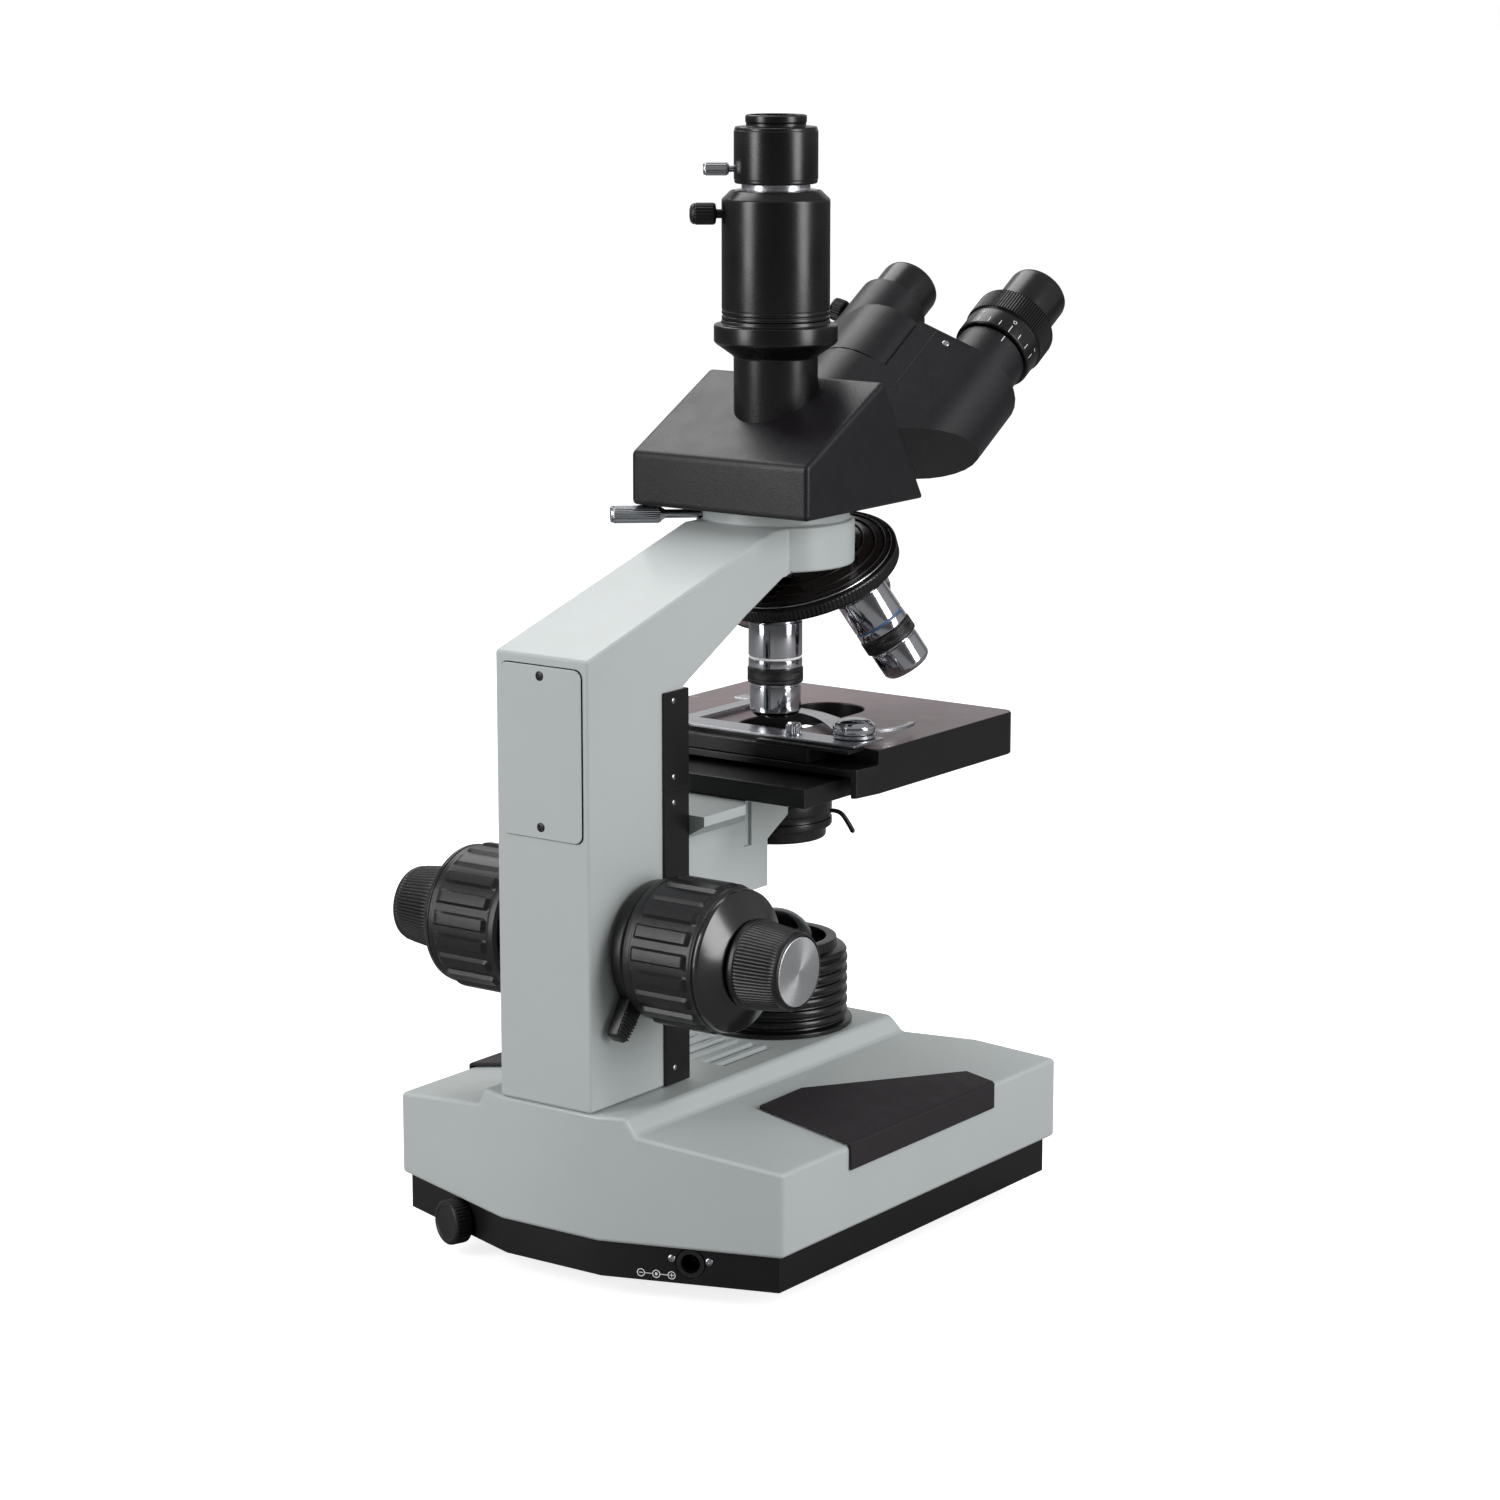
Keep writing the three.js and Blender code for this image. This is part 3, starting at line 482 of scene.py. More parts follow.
def keep(node, mat, bevel=0.6, segments=3, flat=0.6, clamp=True):
    """A CAD node stays, with its edges rounded and its own material."""
    o = frame["nodes"][node]
    o.data.materials.clear()
    o.data.materials.append(mat)
    o.data.polygons.foreach_set("use_smooth", [True] * len(o.data.polygons))
    if flat:
        weld = o.modifiers.new("weld", "WELD")
        weld.merge_threshold = 1e-6
        planar = o.modifiers.new("planar", "DECIMATE")
        planar.decimate_type = "DISSOLVE"
        planar.angle_limit = math.radians(flat)
    if bevel:
        edge = o.modifiers.new("edges", "BEVEL")
        edge.width = bevel * MM
        edge.segments = segments
        edge.limit_method = "ANGLE"
        edge.angle_limit = math.radians(35)
        edge.use_clamp_overlap = clamp
        edge.harden_normals = True
    normals = o.modifiers.new("normals", "WEIGHTED_NORMAL")
    normals.keep_sharp = True
    normals.weight = 80
    return o


# ---- camera, light and floor ----

CAMERA_AT = (-916.8, 1294.2, 510.3)
AZIMUTH, PITCH = 0.62276, 0.20256
FOCAL_LENGTH = 96.35

camera = bpy.data.objects.new("camera", bpy.data.cameras.new("camera"))
bpy.context.scene.collection.objects.link(camera)
camera.data.lens = FOCAL_LENGTH
camera.data.sensor_width = 36
camera.data.clip_start = 0.05
camera.data.clip_end = 20
look = Vector((math.sin(AZIMUTH) * math.cos(PITCH), -math.cos(AZIMUTH) * math.cos(PITCH), -math.sin(PITCH)))
camera.location = world(CAMERA_AT)
camera.rotation_mode = "QUATERNION"
camera.rotation_quaternion = look.to_track_quat("-Z", "Y")
bpy.context.scene.camera = camera


def lamp(name, at, target, size, watts, colour=(1, 1, 1)):
    data = bpy.data.lights.new(name, "AREA")
    data.shape = "RECTANGLE"
    data.size, data.size_y = size
    data.energy = watts
    data.color = colour
    light = bpy.data.objects.new(name, data)
    bpy.context.scene.collection.objects.link(light)
    light.location = Vector(at)
    light.rotation_mode = "QUATERNION"
    light.rotation_quaternion = (Vector(target) - Vector(at)).to_track_quat("-Z", "Y")


centre = (cad_lo + cad_hi) / 2
lamp("left_softbox", (-1.55, -0.15, 0.75), centre, (0.6, 1.5), 21)
lamp("right_softbox", (0.75, 1.60, 0.75), centre, (0.6, 1.5), 21)
lamp("top_softbox", (0.80, -0.38, 1.45), centre, (1.0, 1.0), 12)


def camera_only(tree, low, high):
    """A value that is high where the camera looks straight at the surface and low in its reflections."""
    path = tree.nodes.new("ShaderNodeLightPath")
    span = tree.nodes.new("ShaderNodeMapRange")
    span.inputs["To Min"].default_value = low
    span.inputs["To Max"].default_value = high
    tree.links.new(path.outputs["Is Camera Ray"], span.inputs["Value"])
    return span.outputs["Result"]


scene_world = bpy.data.worlds.new("studio")
scene_world.use_nodes = True
sky = scene_world.node_tree
background = sky.nodes["Background"]
background.inputs["Color"].default_value = (1, 1, 1, 1)


def sky_node(kind, inputs=(), **settings):
    node = sky.nodes.new(kind)
    for key, value in settings.items():
        setattr(node, key, value)
    for key, value in inputs:
        if hasattr(value, "is_output"):
            sky.links.new(value, node.inputs[key])
        else:
            node.inputs[key].default_value = value
    return node


# walls left and right of the object, a backdrop and a ceiling, with darkness between them
ray = sky_node("ShaderNodeTexCoord").outputs["Generated"]
sideways = sky_node("ShaderNodeVectorMath", [(0, ray), (1, (0.816, 0.577, 0.0))],
                    operation="DOT_PRODUCT").outputs["Value"]
spread = sky_node("ShaderNodeMath", [(0, sideways)], operation="ABSOLUTE").outputs[0]
walls = sky_node("ShaderNodeMapRange", [("Value", spread), ("From Min", 0.55), ("From Max", 0.95),
                                        ("To Min", 0.10), ("To Max", 0.42)],
                 interpolation_type="SMOOTHSTEP").outputs["Result"]
height = sky_node("ShaderNodeSeparateXYZ", [(0, ray)]).outputs[2]
ceiling = sky_node("ShaderNodeMapRange", [("Value", height), ("From Min", 0.45), ("From Max", 0.85),
                                          ("To Max", 0.30)],
                   interpolation_type="SMOOTHSTEP").outputs["Result"]
behind = sky_node("ShaderNodeVectorMath", [(0, ray), (1, (0.577, -0.816, 0.0))],
                  operation="DOT_PRODUCT").outputs["Value"]
backdrop = sky_node("ShaderNodeMapRange", [("Value", behind), ("From Min", 0.72), ("From Max", 0.92),
                                           ("To Max", 0.45)],
                    interpolation_type="SMOOTHSTEP").outputs["Result"]
glow = sky_node("ShaderNodeMath", [(0, walls), (1, ceiling)], operation="ADD").outputs[0]
glow = sky_node("ShaderNodeMath", [(0, glow), (1, backdrop)], operation="ADD").outputs[0]
seen = sky_node("ShaderNodeLightPath").outputs["Is Camera Ray"]
strength = sky_node("ShaderNodeMix", [(0, seen), (2, glow), (3, 1.0)]).outputs[0]
sky.links.new(strength, background.inputs["Strength"])
bpy.context.scene.world = scene_world
bpy.context.scene.view_settings.view_transform = "Standard"
bpy.context.scene.view_settings.look = "None"

floor_bm = bmesh.new()
bmesh.ops.create_grid(floor_bm, x_segments=2, y_segments=2, size=200000)
paper = Nodes("floor_paper")
tone = paper.add("ShaderNodeVectorMath", operation="SCALE")
paper.link(paper.mix(paper.ramp(paper.noise(3.0), 0.0, 1.0), (0.62, 0.62, 0.62), (0.66, 0.66, 0.66)),
           tone.inputs[0])
paper.link(camera_only(paper.tree, 0.4, 1.0), tone.inputs["Scale"])
paper.link(tone.outputs[0], paper.bsdf.inputs["Base Color"])
paper.bsdf.inputs["Roughness"].default_value = 0.9
paper.bsdf.inputs["Emission Color"].default_value = (1, 1, 1, 1)
paper.link(camera_only(paper.tree, 0.0, 0.80), paper.bsdf.inputs["Emission Strength"])
floor = finish_mesh("floor", floor_bm, paper.mat, Matrix.Translation((0, 0, -0.0003)))
floor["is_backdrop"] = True


# ---- base ----

keep("base_cover", GREY, 1.6, 4, clamp=False)
keep("base_pan", PAN, 1.0, 3)
for side in ("left", "right"):
    keep(f"wrist_pad_{side}", PAD, 0.4, 3)
for name in ("foot_front_left", "foot_front_right", "foot_rear_left", "foot_rear_right"):
    lo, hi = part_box(name)
    middle = (lo + hi) / 2 / MM
    foot = turn(name + "_rubber", [(0, 0.6), (4, 0.5), (5, 0), (7.5, 0), (9, 1.5), (9.1, 6), (10, 7.7),
                                   (0, 7.7)], RUBBER, axes((middle.x, middle.y - SHIFT_Y, 0), UP), soft=0.5)
    own(foot, "stand", "rubber", name)

keep("dc_inlet", KNOB, 0.25, 2, flat=0)
face = Vector((-0.3207, 0.9472, 0))
right = Vector((0.9472, 0.3207, 0))
jack = Vector((-56.8, 135.0, 16.2))
own(turn("inlet_pin", [(0, -9.5), (0.9, -9.5), (0.9, -5.2), (0.55, -4.6), (0, -4.5)], STEM,
         axes(jack, face), segments=32), "stand", "steel")


def printed(name, piece_axes, outline, body="stand", height=0.05):
    """A printed mark, raised by a hair."""
    return own(slab(name, outline, -0.02, height, WHITE, piece_axes, 0), body, None)


# the plain sign of a centre-positive plug: minus, contact and plus, joined by a line
for i, (sign, offset) in enumerate((("plus", 7.5), ("contact", 13.6), ("minus", 19.7))):
    at = jack + right * offset - UP * 5.3 + face * 0.02
    spot = axes(at, face, right)
    own(turn(f"polarity_{sign}", [(1.25, -0.02), (1.6, -0.02), (1.6, 0.05), (1.25, 0.05)], WHITE, spot,
             segments=40, soft=0, closed=True), "stand", None)
    if sign == "contact":
        printed("polarity_dot", spot, [(0.6 * math.cos(t / 2), 0.6 * math.sin(t / 2)) for t in range(12)])
    else:
        printed(f"polarity_{sign}_bar", spot, rect(-0.8, 0.8, -0.16, 0.16))
    if sign == "plus":
        printed("polarity_plus_upright", spot, rect(-0.16, 0.16, -0.8, 0.8), height=0.051)
    if sign != "minus":
        printed(f"polarity_line_{i}", spot, rect(1.6, 4.5, -0.14, 0.14))
for i, offset in enumerate((-7.4, 7.4)):
    screw(f"inlet_screw_{i + 1}", jack + right * offset + face * 0.15 + UP * 1.5, face, 1.5, "stand", SATIN,
          0.6, hint=right)

dial_face = Vector((0.3207, 0.9472, 0))
own(turn("dial_wheel", [(0, -9), (3, -9), (3, 0.9), (8.0, 0.9), (8.7, 1.3)]
         + [(8.9, z) for z in fine(1.7, 7.3, 0.5)] + [(8.3, 8.1), (7.2, 8.4), (6.4, 8.0), (0, 7.9)], KNOB,
         axes((53, 136.3, 13), dial_face), segments=240, relief=outside(8.8, ribs(36, 0.6, 1.4, 7.6)),
         soft=0.2), "dial", "black_plastic", "brightness_dial")

# ---- arm ----

keep("arm", GREY, 1.1, 4, clamp=False)
keep("arm_cover_plate", GREY, 0.25, 2)
own(slab("plate_shadow_gap", rect(-19.35, 19.35, 175.65, 241.85, 3.3), 150.31, 150.42, DARK,
         axes((0, 0, 0), (0, 1, 0), (-1, 0, 0)), 0), "stand", "black_paint")
for name, z in (("plate_screw_top", 237.8), ("plate_screw_bottom", 180.3)):
    screw(name, (0, 151.35, z), (0, 1, 0), 1.9, "stand", STEM, 0.35)
for side, s in (("left", -1), ("right", 1)):
    keep(f"guide_strip_{side}", STAGE_SIDE, 0.15, 2)
    gap_frame = axes((0, 0, 0), (s, 0, 0), (0, 1, 0))
    if s < 0:
        gap_frame = gap_frame @ Matrix.Scale(-1, 4, (0, 1, 0))
    own(slab(f"strip_gap_{side}", rect(91, 104.6, 187.7, 188.3), 22.25, 22.5, GREY, gap_frame, 0), "stand",
        "grey_paint")
    for i, z in enumerate((223, 193.5, 183.5, 79)):
        screw(f"strip_screw_{side}_{i + 1}", (s * 23.2, 99.5, z), (s, 0, 0), 1.15, "stand", SATIN, 0.45,
              hint=(0, 1, 0))

# ---- lamp house ----

def lamp_profile():
    points = [(26.5, 72.3), (31.5, 72.3), (31.5, 74.0), (28.4, 74.6)]
    for i in range(6):
        z = 75.4 + 4.4 * i
        points += [(28.2, z), (29.4, z + 0.5), (29.6, z + 1.6), (29.4, z + 2.8), (28.2, z + 3.4)]
    return points + [(29.3, 102.4), (28.4, 103.6), (25.2, 104.2), (25.0, 107.9), (20.8, 107.9), (20.6, 101),
                     (17.0, 100.2), (16.9, 97), (26.5, 97)]


own(turn("lamp_rings", lamp_profile(), TUBE, axes((0, 0, 0), UP), segments=128, soft=0.3, closed=True),
    "stand", "black_paint", "lamp_house")
dome = [(0, 97.4), (16.3, 97.4), (16.3, 102.4)] + [(16.4 * math.cos(math.radians(t)),
                                                    102.4 + 16.4 * math.sin(math.radians(t)))
                                                   for t in range(6, 90, 6)] + [(0, 118.8)]
own(turn("collector_dome", dome, DOME, axes((0, 0, 0), UP), segments=96, soft=0), "stand", "glass",
    "collector_lens")
keep("lamp_module", SATIN, 0.3, 2)

# ---- focus drive ----

AXLE = Vector((0, 115.4, 131))
keep("coarse_shaft", STEEL, 0.15, 2)
keep("fine_shaft", STEEL, 0.2, 2)
keep("focus_slide", STEEL, 0.3, 2)
keep("focus_rack", BRASS, 0)


def coarse_knob(side, s):
    body = [(5.5, 30.2), (26.0, 30.2), (27.4, 31.2), (27.5, 33.6)]
    body += [(27.3, z) for z in fine(34.4, 61.6, 1.0)]
    body += [(27.5, 62.2), (27.5, 62.9), (26.9, 63.1), (26.9, 63.6), (27.4, 63.8), (27.0, 65.6), (16.6, 70.5),
             (12.0, 70.5), (12.0, 66), (5.5, 66)]

    def bars(a, r, z):
        if r < 27.25 or r > 27.4 or not 35 < z < 60.5:
            return 0.0
        ends = max(0.0, min(1.0, (z - 35) / 1.2, (60.5 - z) / 1.2))
        phase = abs(((a * 20 / (2 * math.pi)) % 1.0) - 0.5) * 2
        rise = max(0.0, min(1.0, (0.62 - phase) / 0.14))
        return 1.35 * ends * rise

    knob = turn(f"coarse_grip_{side}", body, KNOB, axes(AXLE, (s, 0, 0), (0, 1, 0)), segments=360,
                relief=bars, soft=0.25, bands=((63.4, 71, SHINE),), closed=True)
    own(knob, "coarse_drive", "black_plastic", f"coarse_knob_{side}")
    cone = [(3.1, 66.8), (11.4, 66.8), (11.4, 71.3), (17.0, 71.6), (17.3, 72.6), (17.2, 74.0)]
    cone += [(17.1 - 1.9 * (z - 74.4) / 15.6, z) for z in fine(74.4, 90.0, 1.2)]
    cone += [(15.0, 90.8), (14.4, 92.3), (13.6, 92.7), (13.5, 91.2), (3.1, 91.2)]
    own(turn(f"fine_grip_{side}", cone, KNOB, axes(AXLE, (s, 0, 0), (0, 1, 0)), segments=432,
             relief=outside(14.8, ribs(72, 0.5, 74.2, 90.2)), soft=0.2, closed=True),
        "fine_drive", "black_plastic", f"fine_knob_{side}")
    cap = turn(f"fine_disc_{side}", [(0, 91.4), (13.2, 91.4), (13.3, 92.5), (13.0, 92.8), (2.0, 92.75),
                                     (0, 92.6)], SPUN, axes(AXLE, (s, 0, 0), (0, 1, 0)), segments=96,
               soft=0.12)
    own(cap, "fine_drive", "aluminium", *(["fine_cap_left"] if side == "left" else []))


coarse_knob("left", -1)
coarse_knob("right", 1)

lock = turn("lock_ring_body", [(6.2, 23.6), (24.4, 23.6), (25.5, 24.6), (25.5, 28.6), (24.6, 29.7),
                               (6.2, 29.7)], KNOB, axes(AXLE, (-1, 0, 0), (0, 1, 0)), segments=128, soft=0.4,
            closed=True)
own(lock, "lock_ring", "black_plastic", "focus_lock_ring")
tab_dir = Vector((0, math.cos(math.radians(50)), -math.sin(math.radians(50))))
tab_frame = axes(AXLE, (-1, 0, 0), tab_dir)
tab = slab("lock_lever", [(23, -5.2), (30, -4.6), (39, -3.4), (40, -2.6), (40, 2.6), (39, 3.4), (30, 4.6),
                          (23, 5.2)], 23.9, 29.3, KNOB, tab_frame, 0.8)
own(tab, "lock_ring", "black_plastic")
for i in range(7):
    r = 30.2 + 1.35 * i
    rib = slab(f"lock_lever_rib_{i + 1}", rect(r - 0.35, r + 0.35, -4.2 + 0.1 * i, 4.2 - 0.1 * i, 0.2, 2),
               29.0, 29.9, KNOB, tab_frame, 0.2, 2)
    own(rib, "lock_ring", "black_plastic")
own(turn("tension_grip", [(6.2, 23.6), (24.2, 23.6), (25.2, 24.4)]
         + [(25.4, z) for z in fine(24.8, 28.6, 0.6)] + [(25.2, 29.0), (24.4, 29.7), (6.2, 29.7)], KNOB,
         axes(AXLE, (1, 0, 0), (0, 1, 0)), segments=240, relief=outside(25, ribs(24, 1.1, 24.2, 29.2, 2.0)),
         soft=0.2, closed=True), "tension", "black_plastic", "tension_ring")

# ---- stage ----

keep("stage_carrier", GREY, 0.9, 3)
keep("stage_base_plate", STAGE_SIDE, 0.4, 2)
keep("stage_top_plate", STAGE_SIDE, 0.8, 3)
keep("x_carriage", STAGE_SIDE, 0.35, 2)
keep("slide_holder", SATIN, 0.15, 2)
keep("spring_finger", SATIN, 0.1, 2)

# a thin pale sheet over the dark stage top plate, a painted reflection of the bright surroundings on the
# stage top
bm = bmesh.new()
sheet = [(x, y) for x, y in rect(-63.6, 63.6, -79.6, 19.6, 4.6, 6)]
outer = [bm.verts.new((x, y, STAGE_Z)) for x, y in sheet]
hole = []
for i in range(25):
    t = math.pi * i / 24
    hole.append(bm.verts.new((APERTURE_RADIUS * math.cos(t), APERTURE_RADIUS * math.sin(t), STAGE_Z)))
for i in range(25):
    t = math.pi + math.pi * i / 24
    hole.append(bm.verts.new((APERTURE_RADIUS * math.cos(t), APERTURE_RADIUS * math.sin(t) - APERTURE_RUN,
                              STAGE_Z)))
loops = (outer, hole)
edges = [bm.edges.new((loop[i], loop[(i + 1) % len(loop)])) for loop in loops for i in range(len(loop))]
bmesh.ops.triangle_fill(bm, use_beauty=True, edges=edges)
skin = bmesh.ops.extrude_face_region(bm, geom=list(bm.faces))
bmesh.ops.translate(bm, verts=[v for v in skin["geom"] if isinstance(v, bmesh.types.BMVert)],
                    vec=(0, 0, 0.12))
own(finish_mesh("stage_surface", bm, STAGE_TOP, axes((0, 0, 0), UP), 40), "stage_y", "stage_coat")

for i in range(10):
    y = -28 + 5 * i
    own(slab(f"scale_mark_{i + 1}", rect(60.6 if i % 2 else 59.2, 62.6, y - 0.18, y + 0.18), 195.46, 195.5,
             WHITE, axes((0, 0, 0), UP), 0), "stage_y", None)

pivot = Vector((-48, 14, 0))
far_edge = [(-53, 7.2), (-47.5, 2.2), (-41, -1.6), (-33.2, -6.2), (-21.2, -13.4), (-10.7, -18.3),
            (-3.3, -20.0), (1.4, -20.3), (4.2, -19.2)]
near_edge = [(5.4, -17.0), (4.6, -14.2), (2.2, -12.4), (-1.7, -11.7), (-6.2, -11.2), (-13.5, -7.9),
             (-19.5, -3.9), (-24.4, 0.1), (-29, 4.2), (-32.3, 7.4), (-36, 10.2), (-40.2, 11.6)]
own(slab("finger_blade", far_edge + near_edge, 197.95, 198.5, SATIN, axes((0, 0, 0), UP), 0.1, 2), "finger",
    "steel")
own(turn("pivot_dome", [(0, 198.1), (4.5, 198.1), (4.5, 199.3), (7.8, 199.5), (8.4, 200.2), (8.5, 202.2),
                        (8.2, 203.0), (6.6, 204.4), (4.6, 205.1), (0, 205.4)], CHROME, axes(pivot, UP),
         soft=0.5), "stage_x", "chrome", "finger_pivot")
thumb = [(0, 196.7), (3.4, 196.7), (3.4, 198.2)] + [(3.2, z) for z in fine(198.4, 201.6, 0.5)]
thumb += [(2.6, 202.2), (0, 202.2)]
own(turn("holder_screw", thumb, CHROME, axes((-25, 22.6, 0), UP), segments=120,
         relief=outside(3, ribs(20, 0.45, 198.3, 201.8)), soft=0.15), "stage_x", "chrome")

for name, node, body, r, z0, z1, stem in (("y_knob_grip", "stage_y_knob", "y_knob", 13.8, 134, 150,
                                           (4.6, 186)), ("x_knob_grip", "stage_x_knob", "x_knob", 10.8, 116,
                                                         133, (2.6, 133.7))):
    profile = [(0, z0), (r - 1.4, z0), (r - 0.3, z0 + 0.8)] + [(r, z) for z in fine(z0 + 1.2, z1 - 1.2, 0.8)]
    profile += [(r - 0.3, z1 - 0.8), (r - 1.4, z1), (stem[0], z1), (stem[0], stem[1]), (0, stem[1])]
    own(turn(name, profile, KNOB, axes((55, -6, 0), UP), segments=240,
             relief=outside(r - 0.2, ribs(40, 0.5, z0 + 1, z1 - 1)),
             soft=0.3), body, "black_plastic", node)

# ---- condenser ----

own(turn("condenser_barrel", [(10, 150), (12, 149.6), (20.2, 150), (20.6, 150.6), (20.6, 154.3),
                              (22.8, 154.7), (23, 155.2), (23, 157.8), (22.5, 158.2), (22.5, 160.6),
                              (23, 161.0), (23, 165.3), (22.6, 165.7), (20, 165.9), (20, 176.6), (14, 178),
                              (13, 189.8), (10.5, 189.8), (10.5, 178), (10, 176)], TUBE, axes((0, 0, 0), UP),
         segments=128, soft=0.25, closed=True), "condenser", "black_paint", "condenser_body")
top = [(0, 178.3), (10.2, 178.3), (10.2, 188.8), (9.2, 190.0), (6.5, 190.9), (3.2, 191.3), (0, 191.4)]
own(turn("condenser_glass", top, LENS, axes((0, 0, 0), UP), soft=0.3), "condenser", "glass", "condenser_lens")
radial = Vector((-0.816, -0.577, 0))
centring = Vector((-0.38, 0.925, 0)).normalized()
own(turn("centring_screw", [(0, 20), (2.4, 20), (2.4, 23.2), (2.2, 24.6), (1.2, 24.9), (1.0, 24.2),
                            (0, 24.2)], SATIN, axes((0, 0, 158.4), centring), segments=72,
         relief=outside(2.1, ribs(18, 0.25, 22, 24.8)), soft=0.15), "condenser", "steel")
reach = math.radians(215)
lever_dir = Vector((math.cos(reach), math.sin(reach), 0))
own(sweep("iris_rod", [(20.6, 0, 159.5), (24.0, 0, 159.6), (27.0, 0, 158.2), (29.6, 0, 154.4),
                       (31.4, 0, 151.2)], 0.85, STEM, axes((0, 0, 0), UP, lever_dir), end_radius=1.05),
    "iris", "black_paint", "iris_lever")
own(turn("condenser_grip", [(0, 9), (2.2, 9), (2.2, 18.6), (7.2, 18.6), (7.8, 19.2)]
         + [(7.9, z) for z in fine(19.6, 26, 0.5)] + [(7.6, 26.6), (6.8, 27), (0, 27)], KNOB,
         axes((0, 38, 146), (1, 0, 0), (0, 1, 0)), segments=192,
         relief=outside(7.7, ribs(32, 0.4, 19.4, 26.2)), soft=0.3), "focus_knob_condenser", "black_plastic",
    "condenser_knob")

# ---- nosepiece and objectives ----

keep("nosepiece_mount", GLOSS, 0.3, 3)


def seat(r):
    """Height of the turret's lower cone at radius r."""
    return 60 / math.cos(TILT) - r * math.tan(TILT)


disc = [(0, 49.5), (15, 49.2), (30, 45.6), (36.6, 43.7), (38.6, 43.75), (39.1, 44.0)]
disc += [(39.4, z) for z in fine(44.3, 49.3, 0.35)] + [(38.4, seat(38.4)), (24.4, seat(24.4)), (8, seat(8)),
                                                       (0, seat(0) - 1)]
for i, r in enumerate((26.6, 31.2, 35.0)):
    rise = 41.6 + 0.227 * (r - 30) if r > 30 else 38.6 + 0.5 * (r - 24)
    own(turn(f"mount_step_{i + 1}", [(r - 0.5, rise + 0.3), (r - 0.5, rise - 0.4), (r, rise - 0.45),
                                     (r + 0.35, rise - 0.1), (r + 0.35, rise + 0.3)], STEM,
             axes(APEX, TURRET_AXIS), segments=160, soft=0.12, closed=True), "stand", "black_gloss")
own(turn("turret_bright_ring", [(36.9, 43.2), (37.5, 43.2), (37.6, 43.5), (36.8, 43.5)], SATIN,
         axes(APEX, TURRET_AXIS), segments=160, soft=0.05, closed=True), "turret", "steel")
own(turn("turret_disc", disc, TUBE, axes(APEX, TURRET_AXIS), segments=420,
         relief=outside(39.2, ribs(140, 0.5, 44.4, 49.2, 2.0)), soft=0.3,
         bands=((43.0, 44.2, STEM),)), "turret", "black_paint", "nosepiece_turret")

for i, (power, length, colour, tip) in enumerate((("100x", 41, WHITE, 5.0), ("40x", 39, BLUE, 5.5),
                                                  ("10x", 30, YELLOW, 7.0), ("4x", 19, RED, 8.0))):
    spin = Matrix.Rotation(i * math.pi / 2, 3, -TURRET_AXIS)
    direction = spin @ Vector((0, 0, -1))
    s = 60.3
    k0 = s + length * 0.50
    k1 = k0 + length * 0.155
    profile = [(0, s - 4), (8.7, s - 4), (8.7, s), (10.2, s), (10.4, s + 1.0), (10.0, s + 1.3),
               (10.0, s + 1.8), (10.8, s + 2.2), (10.85, k0 - length * 0.115), (10.45, k0 - length * 0.11),
               (10.45, k0 - length * 0.09), (10.85, k0 - length * 0.085), (10.85, k0 - 0.4), (10.6, k0)]
    profile += [(11.15, z) for z in fine(k0 + 0.3, k1 - 0.3, 0.28)]
    profile += [(10.6, k1), (10.0, k1 + 0.2), (10.0, k1 + 0.9), (10.35, k1 + 1.2), (10.25, s + length * 0.93),
                (9.6, s + length * 0.96), (tip + 3.0, s + length * 0.985), (tip, s + length - 0.1),
                (tip - 1, s + length), (2.4, s + length), (2.2, s + length - 0.6), (0, s + length - 0.6)]
    band = (k0 - length * 0.11, k0 - length * 0.09, colour)
    barrel = turn(f"objective_{power}_barrel", profile, CHROME, axes(APEX, direction, (0.3, 0.9, 0.1)),
                  segments=288, relief=outside(11.1, knurl(96, 0.42, k0 + 0.2, k1 - 0.2, 0.9)), soft=0.18,
                  bands=(band, (k0 - 0.1, k1 + 0.1, KNOB)))
    own(barrel, "turret", "chrome", f"objective_{power}")

# ---- head ----

wedge = [(39.1, 285.4), (39.1, 306.6), (-14, 335.2), (-43.5, 285.4)]
own(slab("housing_shell", wedge, -42.5, 42.5, HEAD, axes((0, 0, 0), (1, 0, 0), (0, 1, 0)), 2.4, 5), "head",
    "black_paint", "head_housing")
own(turn("housing_neck", [(12, 273), (22.2, 273), (22.6, 273.6), (22.6, 286), (12, 286)], HEAD,
         axes((0, 0, 0), UP), segments=128, soft=0.2, closed=True), "head", "black_paint")
own(turn("clamp_knob", [(0, 23.2), (1.75, 23.2), (1.75, 44), (2.6, 45.4), (3.3, 45.9)]
         + [(3.65, z) for z in fine(46.4, 64.6, 1.0)] + [(3.3, 65.4), (2.8, 65.9), (0, 66)], CHROME,
         axes((0, 0, 281.2), (math.sin(CLAMP_AT), math.cos(CLAMP_AT), 0)), segments=160,
         relief=outside(3.5, ribs(26, 0.3, 46.2, 64.8)), soft=0.2), "head_clamp", "chrome",
    "head_clamp_screw")

